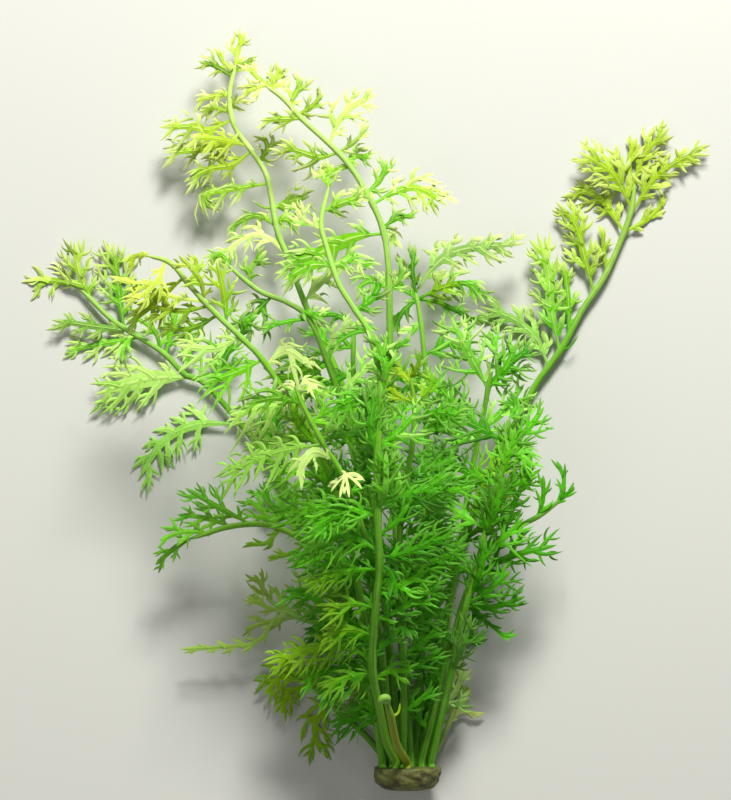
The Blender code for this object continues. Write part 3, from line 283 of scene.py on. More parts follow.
        leaf(-76, 83.6, -83, 79.5, -88.9, 74.2, 4, -2), leaf(-70, 85.5, -79, 86, -87.2, 83, 3.5, 0),
        leaf(-63, 89.6, -72, 91, -81, 92, 4, 0),
        leaf(-56, 90.2, -66, 94.5, -78, 101.5, 4.5, 1, name="up_2"),
        leaf(-47, 89.6, -52, 94, -57, 98, 4.5, -1), leaf(-45, 86.5, -50, 82, -57, 82, 2.5, -1),
        leaf(-35, 82, -42, 78, -49.4, 77, 2.5, 0), leaf(-38, 86, -41, 92, -37, 101, 7, 1, name="up_4"),
        leaf(-28, 78, -34, 76, -40, 76, 2.5, -1), leaf(-27.4, 80, -27, 90, -31, 103, 7, -1, name="up_5"),
        leaf(-17.8, 62.5, -23, 63.5, -28, 60, 4, 0), leaf(-11.5, 40, -19, 47, -29, 53, 4.5, 0),
    )),
    Frond("right_back", 2.8, 1.6, broad=0.9, route=(
        (6.6, 2.6, 7), (11, 30, 14), (15, 60, 20), (19, 85, 24), (23, 110, 26), (27, 130, 27),
        (30, 147, 27),
    ), leaves=(
        leaf(29.8, 146, 30.5, 151, 28.5, 157, 4.5, -1),
        leaf(26.6, 137, 21, 149, 15, 161, 9, 2.4, name="left_1"),
        leaf(29.6, 135, 34, 143, 38.5, 153, 6.5, 3), leaf(24, 123, 15, 132, 6, 144, 8.5, 0, name="left_2"),
        leaf(26.4, 120, 33, 128, 41, 138, 7.5, -1, name="right_2"),
        leaf(22.8, 101, 31, 110, 41, 120, 7.5, -1, name="right_3"), leaf(19.6, 100, 11, 106, 3, 116, 7, 0),
        leaf(20, 82, 27, 89, 35, 99, 5.5, 0), leaf(14, 52, 8, 59, 4, 69, 5, 0),
        leaf(16.5, 68, 9, 74, 2, 83, 5.5, 0), leaf(21, 93, 30, 99, 40, 103, 6, 0),
        leaf(28.5, 139, 37, 146, 45, 152, 5.5, 0), leaf(24, 116, 16, 121, 8, 128, 5.5, -3),
        leaf(9, 18, 15, 23, 22, 27, 4, 0, pale=0.22, loose=0.9),
    )),
    Frond("right_low", 3, 1.6, loose=1, broad=0.85, curl=-0.012, route=(
        (5, 2.6, 10.6), (10, 24, 18), (13.5, 40, 23), (17.4, 54, 27), (21, 66, 30), (27, 79, 33),
        (36, 86.5, 34), (46, 92, 34), (54, 98, 33),
    ), leaves=(
        leaf(33, 86.4, 37, 96, 41, 105, 43.5, 114, 4, -1), leaf(43.4, 92.4, 47, 98, 47, 106, 3, 0),
        leaf(53, 97, 54.5, 104, 52, 111, 2.5, 0), leaf(53, 97, 56, 100, 58, 102, 2, 0),
        leaf(24.6, 71, 36, 77.5, 52, 81.5, 5.5, -1, name="side_1"),
        leaf(21, 58.4, 31, 60, 41, 63.5, 4.5, -1), leaf(18, 56, 26, 55.5, 34, 49.5, 38.7, 50, 2, -3),
        leaf(15.5, 47, 21, 47.5, 27.5, 48.8, 3, -2), leaf(13.5, 41, 10, 38, 6.5, 28, 3.5, 1),
        leaf(15.6, 47, 23, 56, 27, 67, 4.5, 0), leaf(12, 35, 5, 40, -3, 44, 4.5, 1.5),
        leaf(34, 85.5, 30, 93, 27, 102, 4.5, 0), leaf(7.8, 15, 4.5, 19, 3.5, 27, 3, 3),
    )),
    Frond("right_front", 2.7, 1.6, broad=0.9, route=(
        (8.6, 2.6, 10.4), (14, 30, 22), (19, 55, 32), (24, 75, 39), (29, 95, 44), (33, 112, 47),
        (35, 126, 48),
    ), leaves=(
        leaf(35, 125, 37, 130, 34, 133.5, 4, 0),
        leaf(32.2, 117.5, 24, 123, 11, 128, 6.5, -1, name="left_1"),
        leaf(29.5, 103, 19, 108, 6, 116, 6, -1), leaf(34.6, 112, 39, 113, 44, 108.5, 4, -1),
        leaf(25.7, 88, 16, 94, 5, 101, 6.5, -1, name="left_3"), leaf(21.2, 72, 13, 78, 5, 87, 6.5, 0),
        leaf(17, 46, 10, 51, 3, 61, 5, 0), leaf(20, 60, 28, 66, 36, 73, 5, 0),
        leaf(24.5, 77, 32, 83, 40, 91, 5.5, 0), leaf(29.4, 97, 37, 103, 45, 106, 5, 1),
        leaf(34, 117, 41, 122, 47, 130, 5.5, 0), leaf(15.2, 36, 19, 46, 22, 58, 4.5, 11.5, pale=0.08),
        leaf(20, 60, 25, 72, 27, 84, 5, 10), leaf(25.7, 83, 30, 94, 33, 106, 5, 7.5),
        leaf(30.5, 102, 34, 112, 37, 123, 5, 5), leaf(12.2, 24, 17, 30, 20, 39, 4, 3, pale=0.28, loose=0.9),
    )),
    Frond("yellow_left", 2.8, 1.7, broad=0.95, curl=0.035, route=(
        (-8.8, 2.6, 13), (-12, 30, 28), (-16, 60, 40), (-22, 90, 49), (-31, 115, 54), (-48, 143, 56),
        (-57, 153.2, 56), (-65.6, 161.3, 55), (-75, 171.3, 54), (-82, 179.5, 53), (-90, 182, 52),
    ), leaves=(
        leaf(-89, 182, -94, 182, -97, 178, 2.5, -1),
        leaf(-71.9, 165.6, -80, 167.5, -90, 171, -103.5, 175, 3, -2),
        leaf(-69, 165, -79, 163, -95.4, 166, 3.5, -3), leaf(-58.5, 154.5, -56, 159, -51.5, 161.5, 4, 1),
        leaf(-76, 172.5, -73, 177, -74, 182.5, 3, 0), leaf(-62, 160.6, -63.5, 168, -66, 180, 5.5, 0),
        leaf(-59.2, 153, -67, 150, -80, 151, 7, -1, name="left_2"),
        leaf(-51.8, 145, -60, 141.5, -71, 138, 7, 0, name="left_3"),
        leaf(-48, 146, -42, 149.5, -33, 143, 5, 0, pale=0.45, web=0.5),
        leaf(-43.4, 131, -52, 129, -62, 127, 6.5, -1, loose=0.9, pale=0.22),
        leaf(-41, 133.7, -34, 136, -26, 133, 5, -1),
        leaf(-34.8, 116.6, -44, 118, -55, 119, 5.5, 0, loose=0.8, pale=0.14),
        leaf(-17.5, 68, -27, 74, -39, 78, 6, 0), leaf(-21, 87, -31, 90, -44, 97, 6, 0),
        leaf(-14, 45, -22, 51, -34, 53, 5, 0), leaf(-27, 105, -36, 107, -48, 108, 5.5, 0),
        leaf(-65, 161, -75, 157, -87, 157, 4, -6), leaf(-13, 36, -21, 38, -31, 37, -38, 33, 4.5, 0),
        leaf(-15, 52, -24, 58, -35, 64, -44, 66, 5, 2),
        leaf(-84, 180.5, -86, 174, -92, 168, -99, 166, 4, 3),
        leaf(-78, 175, -84, 169, -91, 163, -98, 158, 4.5, -4), leaf(-70, 166, -72, 174, -79, 182, 4, 3),
        leaf(-23, 93, -28, 103, -32, 114, 5.5, 7), leaf(-31.5, 116, -38, 124, -42, 134, 5, 4),
        leaf(-10.6, 18, -18, 20, -27, 17, 4, 2),
    )),
    Frond("crossing", 2.7, 1.6, broad=0.95, curl=0.028, route=(
        (-5.2, 2.6, 13.4), (-7.5, 30, 32), (-11, 60, 47), (-15, 85, 58), (-22, 105, 64), (-29, 117, 66),
        (-36, 130, 66), (-39, 137, 66),
    ), leaves=(
        leaf(-38.5, 136, -42, 136, -45, 131, 4, -1, pale=0.7, loose=1),
        leaf(-38, 134, -35, 138, -31, 136, 3, 0, pale=0.55),
        leaf(-30.8, 116.4, -48, 113.5, -65, 105.5, 6, -2, name="left_1", pale=0.12, loose=0.8),
        leaf(-27.2, 110.6, -33, 114.5, -38.5, 106, 5, 4, pale=0.4, web=0.8, loose=1),
        leaf(-28.6, 120, -18, 120.5, -5, 122, 5, -1),
        leaf(-23.4, 109, -21.8, 106.8, -21.4, 100.6, 6.5, 4, name="starfish", rays=6, pale=0.7),
        leaf(-20.4, 101, -14, 108, -6, 114, 4, -1),
        leaf(-17.5, 88.5, -26, 95, -40, 95, 7, -1, name="left_3"),
        leaf(-13.5, 68.5, -22, 76, -38, 83, 7, 3), leaf(-9, 45, -16, 50, -27, 51, 4.5, 0),
        leaf(-33, 125, -26, 129, -15, 131, 5, 0), leaf(-36, 131, -45, 133, -56, 131, 5, 0, loose=0.8),
        leaf(-12, 65, -7, 71, -5, 80, 4, -2), leaf(-8, 35, -15, 35, -24, 33, -32, 28, 4, 0),
        leaf(-11, 62, -12, 72, -14, 84, 4.5, 12), leaf(-6.3, 18, -11, 23, -18, 27, 4, 6),
    )),
    Frond("centre", 2.7, 1.6, broad=0.9, curl=0.022, route=(
        (-1.4, 2.6, 13.6), (-1.5, 30, 30), (-2, 60, 44), (-3, 85, 53), (-2, 100, 57), (1, 115, 60),
        (2, 130, 61), (0.5, 140, 61),
    ), leaves=(
        leaf(1, 138, -3, 142, -7.5, 147, 3.5, 0), leaf(0.5, 139, 3, 144, 4, 149, 3, 1),
        leaf(1.8, 132, -4, 134, -9, 139, 3.5, 1), leaf(2, 131, 7, 136, 9, 142, 4, -1),
        leaf(-0.4, 116.5, -8, 123, -17, 130, 6.5, -1), leaf(3, 119, 10, 124, 17, 133, 6.5, -1),
        leaf(-4, 98, -10, 106, -15, 116, 5.5, -1), leaf(0.6, 105, 8, 109, 17, 113, 6, 0, name="right_2"),
        leaf(-3, 90, -3, 97, -2, 105, 4, 4), leaf(-1, 84, 5, 89, 13, 93, 6, -1, name="right_3"),
        leaf(-4.4, 78, -12, 84, -21, 93, 6, 0), leaf(-0.2, 62, 6, 68, 14, 79, 6, -1),
        leaf(-1.8, 53, 4, 56, 13, 63, 4.5, -2), leaf(-1.8, 58, -5, 64, -5, 72, 4, -1),
        leaf(-2.6, 70, 4, 75, 12, 78, 21, 83, 5, 6), leaf(-3, 92, 5, 98, 14, 101, 23, 103, 5, 5),
        leaf(-1.5, 44, 4, 47, 11, 54, 4, 3), leaf(1.8, 124, 9, 128, 19, 127, 5, 3),
        leaf(-1.2, 108, -8, 112, -18, 117, 5.5, -3), leaf(-1.5, 36, 5, 41, 12, 46, 4.5, 0),
        leaf(-2, 60, 0, 70, -1, 82, 4.5, 11), leaf(-3, 86, -1, 96, 0, 107, 4.5, 8),
        leaf(-1.4, 22, 3, 26, 9, 32, 3.5, 4),
    )),
    Frond("front_middle", 3, 1.7, broad=0.95, curl=0.02, route=(
        (-4, 2.6, 17.4), (-7.4, 12, 24), (-10, 24.8, 33), (-12.4, 38.6, 42), (-11.7, 56, 52),
        (-10, 74.5, 61), (-10.6, 90, 67), (-10.9, 111, 72), (-9.6, 135, 75), (-13, 153.6, 75),
        (-18.8, 163.5, 73), (-24, 172, 71), (-28, 184, 68), (-30, 193, 66), (-27.5, 205, 63),
    ), leaves=(
        leaf(-27.7, 204, -28, 208, -26, 213, 4, -1),
        leaf(-27.6, 196, -23, 199.5, -15.5, 202, 5, -1, web=0.5),
        leaf(-29.8, 191, -36, 194, -40, 200, 4, 0), leaf(-27.8, 178, -34, 178, -43, 173, 5.5, -1, web=0.6),
        leaf(-24, 178.4, -19, 180, -12, 177, 4, -1, web=0.5),
        leaf(-17.2, 163.5, -12.5, 167, -9, 174, 4.5, -1, web=0.5),
        leaf(-14, 155.5, -19, 155, -26, 151, 3, 0), leaf(-12, 150, -8, 146, -5, 147, 3, 0),
        leaf(-12, 134, -20, 132, -28, 128, 6, -1), leaf(-12.6, 92, -16, 94, -21, 96, 4, 0),
        leaf(-11.8, 73.5, -18, 74, -26, 72, -37, 68, 4, -2, name="left_4"),
        leaf(-10.2, 77, -6, 73, -4, 64, 3, -2), leaf(-11, 68, -8.5, 67.5, -5.5, 66.5, 1.2, 1),
        leaf(-12, 44, -6, 50, -2, 54, 1.5, 49.5, 3.5, 3),
        leaf(-14.2, 40.5, -20, 46, -32, 45.5, -50, 40, 5, -8, name="left_5"),
        leaf(-11.5, 60, -19, 62, -30, 60, 4.5, -3), leaf(-10.5, 117, -3, 122, 5, 131, 5, 0),
        leaf(-10.6, 86, -5, 90, 0, 97, 4, 1), leaf(-11.6, 56, -3, 60, 6, 66, 13, 68, 5, 0),
        leaf(-10.2, 78, -1, 80, 8, 84, 17, 86, 5.5, 0), leaf(-10.8, 97, -2, 99, 7, 103, 15, 108, 5.5, 0),
        leaf(-10.7, 93, -18, 94, -27, 92, -34, 87, 5, 0), leaf(-10.3, 81, -18, 85, -27, 86, -35, 83, 5, 0),
        leaf(-12, 50, -20, 53, -30, 51, 4.5, -2), leaf(-12.2, 35, -6, 38, 2, 38, 4, 0),
        leaf(-12.4, 38, -21, 36, -30, 32, 4.5, -4), leaf(-10, 66, -2, 69, 7, 74, 5, 2),
        leaf(-10.6, 92, -8, 103, -8, 115, 5, 8), leaf(-10.7, 113, -13, 124, -11, 137, 5.5, 5),
        leaf(-9.6, 133, -8, 143, -12, 155, 5, 3),
    )),
    Frond("fiddlehead", 3, 2.6, bud_diameter=5.2, pale=0.02, route=(
        (-0.2, 2.6, 17.6), (-4, 12, 30), (-6, 22, 39), (-8, 28.5, 45),
    ), leaves=(
        leaf(-6, 22, -3.5, 23.5, -2.8, 27, 1.2, 1),
    )),
)


# The section of a strap, a flat lens with a groove along its upper side
RING_ACROSS = np.array([1.0, 0.5, 0.0, -0.5, -1.0, -0.5, 0.0, 0.5])
RING_THROUGH = np.array([0.0, 0.9, 0.55, 0.9, 0.0, -0.8, -1.0, -0.8])

# Half widths of straps in millimetres: shares of their length, then the width at each share
THREAD = ((0.0, 0.8, 1.0), (0.5, 0.35, 0.06))
HAND_FOOT = ((0.0, 0.7, 1.0), (0.5, 0.7, 0.2))
RAY = ((0.0, 0.3, 0.7, 0.93, 1.0), (0.5, 0.46, 0.54, 0.34, 0.08))
FULL_LOBE = ((0.0, 0.2, 0.45, 0.7, 0.88, 1.0), (1.0, 0.87, 0.71, 0.54, 0.29, 0.04))
FINE_FINGER = ((0.0, 0.3, 0.6, 0.85, 1.0), (0.5, 0.53, 0.46, 0.27, 0.04))
FULL_FINGER = ((0.0, 0.3, 0.6, 0.85, 1.0), (0.55, 0.6, 0.49, 0.28, 0.04))

# The profile of the crown, as shares of its width and of its length
CROWN_PROFILE = (
    (0.02, 0.0), (0.3, 0.0), (0.47, -0.01), (0.5, -0.12),
    (0.49, -0.45), (0.44, -0.75), (0.3, -0.95), (0.02, -1.0),
)


@dataclass(frozen=True)
class YoungPatch:
    """A stretch of young yellow growth: its frond, middle, radius, strength and share on the stalk."""

    frond: str
    x: float
    y: float
    radius: float
    strength: float
    on_stalk: float = 0.4


YOUNG_PATCHES = (
    YoungPatch("yellow_left", -88.0, 176.0, 22.0, 0.8),
    YoungPatch("yellow_left", -70.0, 172.0, 12.0, 0.6),
    YoungPatch("centre", -2.0, 138.0, 10.0, 0.7),
    YoungPatch("tall_left", -67.0, 222.0, 11.0, 0.6),
    YoungPatch("tall_arch", 4.0, 204.0, 7.0, 0.5),
    YoungPatch("right_centre", 12.0, 171.0, 6.0, 0.4),
    YoungPatch("fiddlehead", -4.0, 12.0, 16.0, 0.9, on_stalk=1.0),
    YoungPatch("front_middle", -8.0, 10.0, 26.0, 0.35),
    YoungPatch("front_middle", -48.0, 52.0, 30.0, 0.42),
    YoungPatch("lower_left", -52.0, 56.0, 36.0, 0.55),
    YoungPatch("low_frond", -66.0, 64.0, 36.0, 0.42),
    YoungPatch("low_left", -34.0, 26.0, 30.0, 0.55),
    YoungPatch("inner_left", -44.0, 124.0, 26.0, 0.22),
    YoungPatch("crossing", -48.0, 116.0, 26.0, 0.16),
    YoungPatch("yellow_left", -44.0, 128.0, 26.0, 0.22),
    YoungPatch("right_back", 34.0, 100.0, 16.0, 0.35),
    YoungPatch("right_tall", 76.0, 208.0, 40.0, 0.5),
    YoungPatch("pale_right", 12.0, 22.0, 40.0, 0.6),
)


@dataclass(frozen=True)
class Fork:
    """One set of fingers: where it leaves its lobe, how far aside, how long, and the least lobe for it."""

    leave: float
    aside: float
    long: float
    least: float


FORKS = (
    Fork(leave=0.28, aside=0.8, long=0.72, least=3.5),
    Fork(leave=0.46, aside=-0.72, long=0.62, least=5.0),
    Fork(leave=0.64, aside=0.66, long=0.42, least=8.0),
    Fork(leave=0.76, aside=-0.5, long=0.3, least=11.5),
)


@dataclass(frozen=True)
class HandCut:
    """How a small hand is cut. Pairs are the ranges of what varies from finger to finger.

    The palm is a share of the midrib, the side tip a share of half a finger, and aside its turn.
    """

    palm: float = 0.42
    sunk: float = 0.6
    spread: Pair = (-98.0, 86.0)
    turns: Pair = (-0.14, 0.14)
    sizes: Pair = (0.95, 1.25)
    rises: Pair = (-0.6, 1.0)
    tilts: Pair = (-0.3, 0.3)
    bow: float = 0.12
    aside: float = 0.65
    side_tip: float = 0.85


@dataclass(frozen=True)
class LobeCut:
    """How the lobes of a leaf are cut. Pairs are the ranges of what varies from lobe to lobe.

    Their spacing grows where they stand loose and where they grow together. First and last are shares of the
    midrib, leans and bows go by the lobe's reach, and steps are the stations along a lobe.
    """

    spacing: float = 5.2
    loose_spacing: float = 1.2
    web_spacing: float = 2.0
    lobed_share: float = 0.84
    first: float = 0.14
    loose_first: float = 0.08
    last: float = 0.88
    sunk: float = 1.6
    places: Pair = (-0.3, 0.3)
    reaches: Pair = (0.78, 1.18)
    leans: Pair = (-0.5, 0.4)
    bows: Pair = (0.55, 0.85)
    rises: Pair = (-1.5, 1.2)
    tilts: Pair = (-0.5, 0.5)
    steps: tuple[float, ...] = (0.0, 0.16, 0.34, 0.52, 0.7, 0.86, 0.95, 1.0)


@dataclass(frozen=True)
class FingerCut:
    """How the fingers of a lobe are cut. Pairs are the ranges of what varies from finger to finger."""

    places: Pair = (-0.07, 0.07)
    turns: Pair = (0.7, 1.2)
    sizes: Pair = (0.75, 1.15)
    bends: Pair = (0.1, 0.9)
    rises: Pair = (-1.4, 1.2)
    tilts: Pair = (-0.5, 0.5)
    steps: tuple[float, ...] = (0.0, 0.25, 0.5, 0.72, 0.88, 1.0)


@dataclass
class Lobes:
    """The middle lines of a leaf's lobes, as the three control points of quadratic curves."""

    u: np.ndarray
    v: np.ndarray
    hands: np.ndarray
    rise: np.ndarray
    size: np.ndarray

    def points(self, t: np.ndarray) -> tuple[np.ndarray, np.ndarray]:
        """Find places on the curves.

        With the control points a, b and c, a place is a(1 - t)^2 + 2bt(1 - t) + ct^2.

        Args:
            t: Shares of the curves' lengths, one row for all lobes or for each.

        Returns:
            The places along and across the midrib.
        """
        weights = np.stack([(1 - t) ** 2, 2 * t * (1 - t), t**2], axis=-1)
        along = (weights * self.u[:, None, :]).sum(axis=-1)
        across = (weights * self.v[:, None, :]).sum(axis=-1)
        return along, self.hands[:, None] * across

    def angle(self, t: np.ndarray) -> np.ndarray:
        """Find how far the curves turn from the midrib, as the angle of (b - a)(1 - t) + (c - b)t.

        Args:
            t: A share of its length for each lobe.

        Returns:
            The turns in radians.
        """
        du = (1 - t) * (self.u[:, 1] - self.u[:, 0]) + t * (self.u[:, 2] - self.u[:, 1])
        dv = (1 - t) * (self.v[:, 1] - self.v[:, 0]) + t * (self.v[:, 2] - self.v[:, 1])
        return np.arctan2(dv, du)

    def only(self, kept: np.ndarray) -> Lobes:
        """Return the kept lobes."""
        return Lobes(self.u[kept], self.v[kept], self.hands[kept], self.rise[kept], self.size[kept])


class Slot(Enum):
    """The material slots of the plant's pieces."""

    STALK = "stalk"
    LEAF = "leaf"
    ROOTSTOCK = "rootstock"


def smooth_path(points: Sequence[Sequence[float]], step: float) -> np.ndarray:
    """Run a Catmull-Rom curve through points and cut it into equal steps.

    Each span is half of 2b + (c - a)t + (2a - 5b + 4c - d)t^2 + (3b - a - 3c + d)t^3.

    Args:
        points: The points that the curve passes through.
        step: The distance between the points returned, about.

    Returns:
        An array of points, one row each.
    """
    given = np.asarray(points, dtype=float)
    ends = np.vstack([2 * given[0] - given[1], given, 2 * given[-1] - given[-2]])
    t = np.linspace(0.0, 1.0, SPAN_CUTS, endpoint=False)[None, :, None]
    a, b, c, d = (ends[k : len(ends) - 3 + k, None, :] for k in range(4))
    squares = (2 * a - 5 * b + 4 * c - d) * t**2
    cubes = (3 * b - a - 3 * c + d) * t**3
    dense = 0.5 * (2 * b + (c - a) * t + squares + cubes)
    dense = np.vstack([dense.reshape(-1, given.shape[1]), given[-1]])
    along = lengths(dense)
    count = max(3, round(along[-1] / step) + 1)
    return sample(dense, along, np.linspace(0.0, along[-1], count))


def lengths(points: np.ndarray) -> np.ndarray:
    """Return the distance along a path at each of its points."""
    return np.concatenate([[0.0], np.cumsum(np.linalg.norm(np.diff(points, axis=0), axis=1))])


def sample(points: np.ndarray, along: np.ndarray, wanted: np.ndarray) -> np.ndarray:
    """Return the points at the wanted distances along a path."""
    return np.stack([np.interp(wanted, along, points[:, k]) for k in range(points.shape[1])], axis=-1)


def unit(vectors: np.ndarray) -> np.ndarray:
    """Return vectors scaled to length one."""
    return vectors / np.maximum(np.linalg.norm(vectors, axis=-1, keepdims=True), 1e-9)


def directions(points: np.ndarray) -> np.ndarray:
    """Return the unit direction of a path, or of a stack of paths, at each of its points."""
    return unit(np.gradient(points, axis=-2))


def rings_around(path: np.ndarray, radius: np.ndarray, turn: np.ndarray) -> np.ndarray:
    """Lay a ring about each point of a path.

    A ring's point is the radius times cos of the turn sideways and sin of the turn upwards.

    Args:
        path: The middles of the rings, one row each.
        radius: The radii, one row for each ring and one column for each side or for all.
        turn: The turns of the ring's sides.

    Returns:
        The points as rings, sides and coordinates.
    """
    run = directions(path)
    side = unit(np.cross(UPWARDS, run))
    up = np.cross(run, side)
    out = np.cos(turn)[None, :, None] * side[:, None, :] + np.sin(turn)[None, :, None] * up[:, None, :]
    return path[:, None, :] + radius[..., None] * out


def marks_of(shape: tuple[int, ...], *marks: float | np.ndarray) -> np.ndarray:
    """Return across, along, tone, youth and paleness side by side, for vertices of a shape."""
    return np.stack([np.broadcast_to(mark, shape) for mark in marks], axis=-1)


def youth_at(frond: str, points: np.ndarray, is_stalk: bool = False) -> np.ndarray:
    """Work out how young and yellow a frond is: the strongest of its patches, each a hill with a flat top.

    Args:
        frond: The frond's name.
        points: Places on it, with x and y first in the last axis.
        is_stalk: Whether they are on its stalk.

    Returns:
        A share for each place, from 0 to 1.
    """
    youth = np.zeros(points.shape[:-1])
    for patch in YOUNG_PATCHES:
        if patch.frond == frond:
            away = np.hypot(points[..., 0] - patch.x, points[..., 1] - patch.y) / patch.radius
            strength = patch.strength * (patch.on_stalk if is_stalk else 1.0)
            youth = np.maximum(youth, strength * np.clip(1.5 - 1.2 * away, 0.0, 1.0))
    return youth


def new_object(name: str, data: bpy.types.ID) -> bpy.types.Object:
    """Make an object and put it in the scene.

    Args:
        name: The object's name.
        data: Its mesh, light or camera.

    Returns:
        The object.
    """
    made = bpy.data.objects.new(name, data)
    bpy.context.scene.collection.objects.link(made)
    return made


@dataclass
class Skin:
    """Vertices and quads gathered for one piece, with five numbers for its finish at each vertex."""

    points: list[np.ndarray] = field(default_factory=list)
    quads: list[np.ndarray] = field(default_factory=list)
    marks: list[np.ndarray] = field(default_factory=list)
    count: int = 0

    def add(self, points: np.ndarray, quads: np.ndarray, marks: np.ndarray) -> None:
        """Add a patch.

        Args:
            points: Its vertices in millimetres, one row each.
            quads: Its faces as rows of four vertex numbers.
            marks: Rows of across, along, tone, youth and paleness, one for each vertex.
        """
        self.points.append(points)
        self.quads.append(quads + self.count)
        self.marks.append(marks)
        self.count += len(points)

    def tubes(self, rings: np.ndarray, marks: np.ndarray) -> None:
        """Add a batch of closed tubes of the same number of rings and sides.

        A ring joins the next one with one quad a side, and fans of quads close both ends.

        Args:
            rings: Vertices as tubes, rings, sides and coordinates.
            marks: The finish numbers with the same first three axes.
        """
        tubes, steps, sides, _ = rings.shape
        number = np.arange(tubes * steps * sides).reshape(tubes, steps, sides)
        turned = np.roll(number, -1, axis=2)
        walls = np.stack([number[:, :-1], turned[:, :-1], turned[:, 1:], number[:, 1:]], axis=-1)
        fan = np.arange(1, sides - 1, 2)
        corners = np.stack([np.zeros_like(fan), fan, fan + 1, np.minimum(fan + 2, sides - 1)], axis=-1)
        first = number[:, 0][:, corners[:, ::-1]]
        last = number[:, -1][:, corners]
        quads = np.vstack([walls.reshape(-1, 4), first.reshape(-1, 4), last.reshape(-1, 4)])
        self.add(rings.reshape(-1, 3), quads, marks.reshape(-1, marks.shape[-1]))

    def piece(self, name: str, shift: np.ndarray, finish: bpy.types.Material) -> bpy.types.Object:
        """Make the object, in metres and in the frame of the solids.

        Args:
            name: The piece's name.
            shift: Where the tables' origin lies in the frame, in metres.
            finish: The piece's material.

        Returns:
            The new object, at the origin, with its place in its mesh.
        """
        points = np.vstack(self.points) * MM + shift
        quads = np.vstack(self.quads)
        marks = np.vstack(self.marks)
        mesh = bpy.data.meshes.new(name)
        mesh.vertices.add(len(points))
        mesh.vertices.foreach_set("co", points.astype(np.float32).ravel())
        mesh.loops.add(quads.size)
        mesh.loops.foreach_set("vertex_index", quads.astype(np.int32).ravel())
        mesh.polygons.add(len(quads))
        mesh.polygons.foreach_set("loop_start", np.arange(0, quads.size, 4, dtype=np.int32))
        mesh.update(calc_edges=True)
        mesh.validate()
        layer = mesh.uv_layers.new(name="blade")
        corner = np.empty(len(mesh.loops), dtype=np.int32)
        mesh.loops.foreach_get("vertex_index", corner)
        layer.data.foreach_set("uv", marks[corner, :2].astype(np.float32).ravel())
        for column, label in ((2, "tone"), (3, "youth"), (4, "pale")):
            held = mesh.attributes.new(label, "FLOAT", "POINT")
            held.data.foreach_set("value", marks[:, column].astype(np.float32))
        mesh.shade_smooth()
        mesh.set_sharp_from_angle(angle=SHARP_ANGLE)
        mesh.materials.append(finish)
        return new_object(name, mesh)


@dataclass
class StalkShape:
    """The fleshy stalk of a frond: a ribbed tube that thins to its tip and swells a little at each leaf.

    It starts sunk in the crown and runs straight to its knee. Lengths are in millimetres.
    """

    frond: Frond
    sides: int = 14
    step: float = 2.2
    swell: float = 0.09
    swell_length: float = 2.2
    ribs: int = 5
    rib_depth: float = 0.035
    mark_length: float = 40.0
    sunk: float = 0.6
    knee: float = 1.8

    def path(self) -> np.ndarray:
        """Lay the middle of the stalk: a short straight foot, then its curved route.

        Returns:
            Its points, one row each.
        """
        foot = np.asarray(self.frond.route[0], dtype=float)
        knee = foot + (0.0, self.knee, 0.0)
        curve = smooth_path([foot, knee, *self.frond.route[1:]], self.step)
        return np.vstack([foot - (0.0, self.sunk, 0.0), curve])

    def radii(self, along: np.ndarray) -> np.ndarray:
        """Return the stalk's radius at distances along it, which runs evenly from base to tip."""
        start, end = self.frond.base_diameter / 2, self.frond.tip_diameter / 2
        return start + (end - start) * (along / along[-1])

    def fill(self, skin: Skin, joints: Sequence[float], tone: float) -> None:
        """Add the stalk to a skin.

        Each ring is the radius times cos and sin of the turn, grooved by a small wave of five ribs.

        Args:
            skin: Where it goes.
            joints: Distances along the stalk at which leaves leave it.
            tone: How light this frond is.
        """
        path = self.path()
        along = lengths(path)
        radius = self.radii(along)
        for joint in joints:
            radius = radius * (1.0 + self.swell * np.exp(-(((along - joint) / self.swell_length) ** 2)))
        radius = radius * np.interp(along[-1] - along, [0.0, 1.0, 7.0], [0.3, 0.62, 1.0])
        turn = np.linspace(0.0, FULL_TURN, self.sides, endpoint=False)
        ribs = 1.0 + self.rib_depth * np.cos(self.ribs * turn)[None, :]
        ring = rings_around(path, radius[:, None] * ribs, turn)
        youth = youth_at(self.frond.name, path, is_stalk=True)
        # Painted highlight: the upper end of the stalk pales, the higher it lies, as if lit from above.
        top_highlight = np.interp(path[:, 1], [140.0, 185.0], [0.0, self.frond.top_highlight])
        top_highlight = top_highlight * np.interp(along / along[-1], [0.4, 0.8], [0.0, 1.0])
        pale = np.maximum(self.frond.pale, top_highlight)
        far = along / self.mark_length
        marks = marks_of(ring.shape[:2], turn / FULL_TURN, far[:, None], tone, youth[:, None], pale[:, None])
        skin.tubes(ring[None], marks[None])


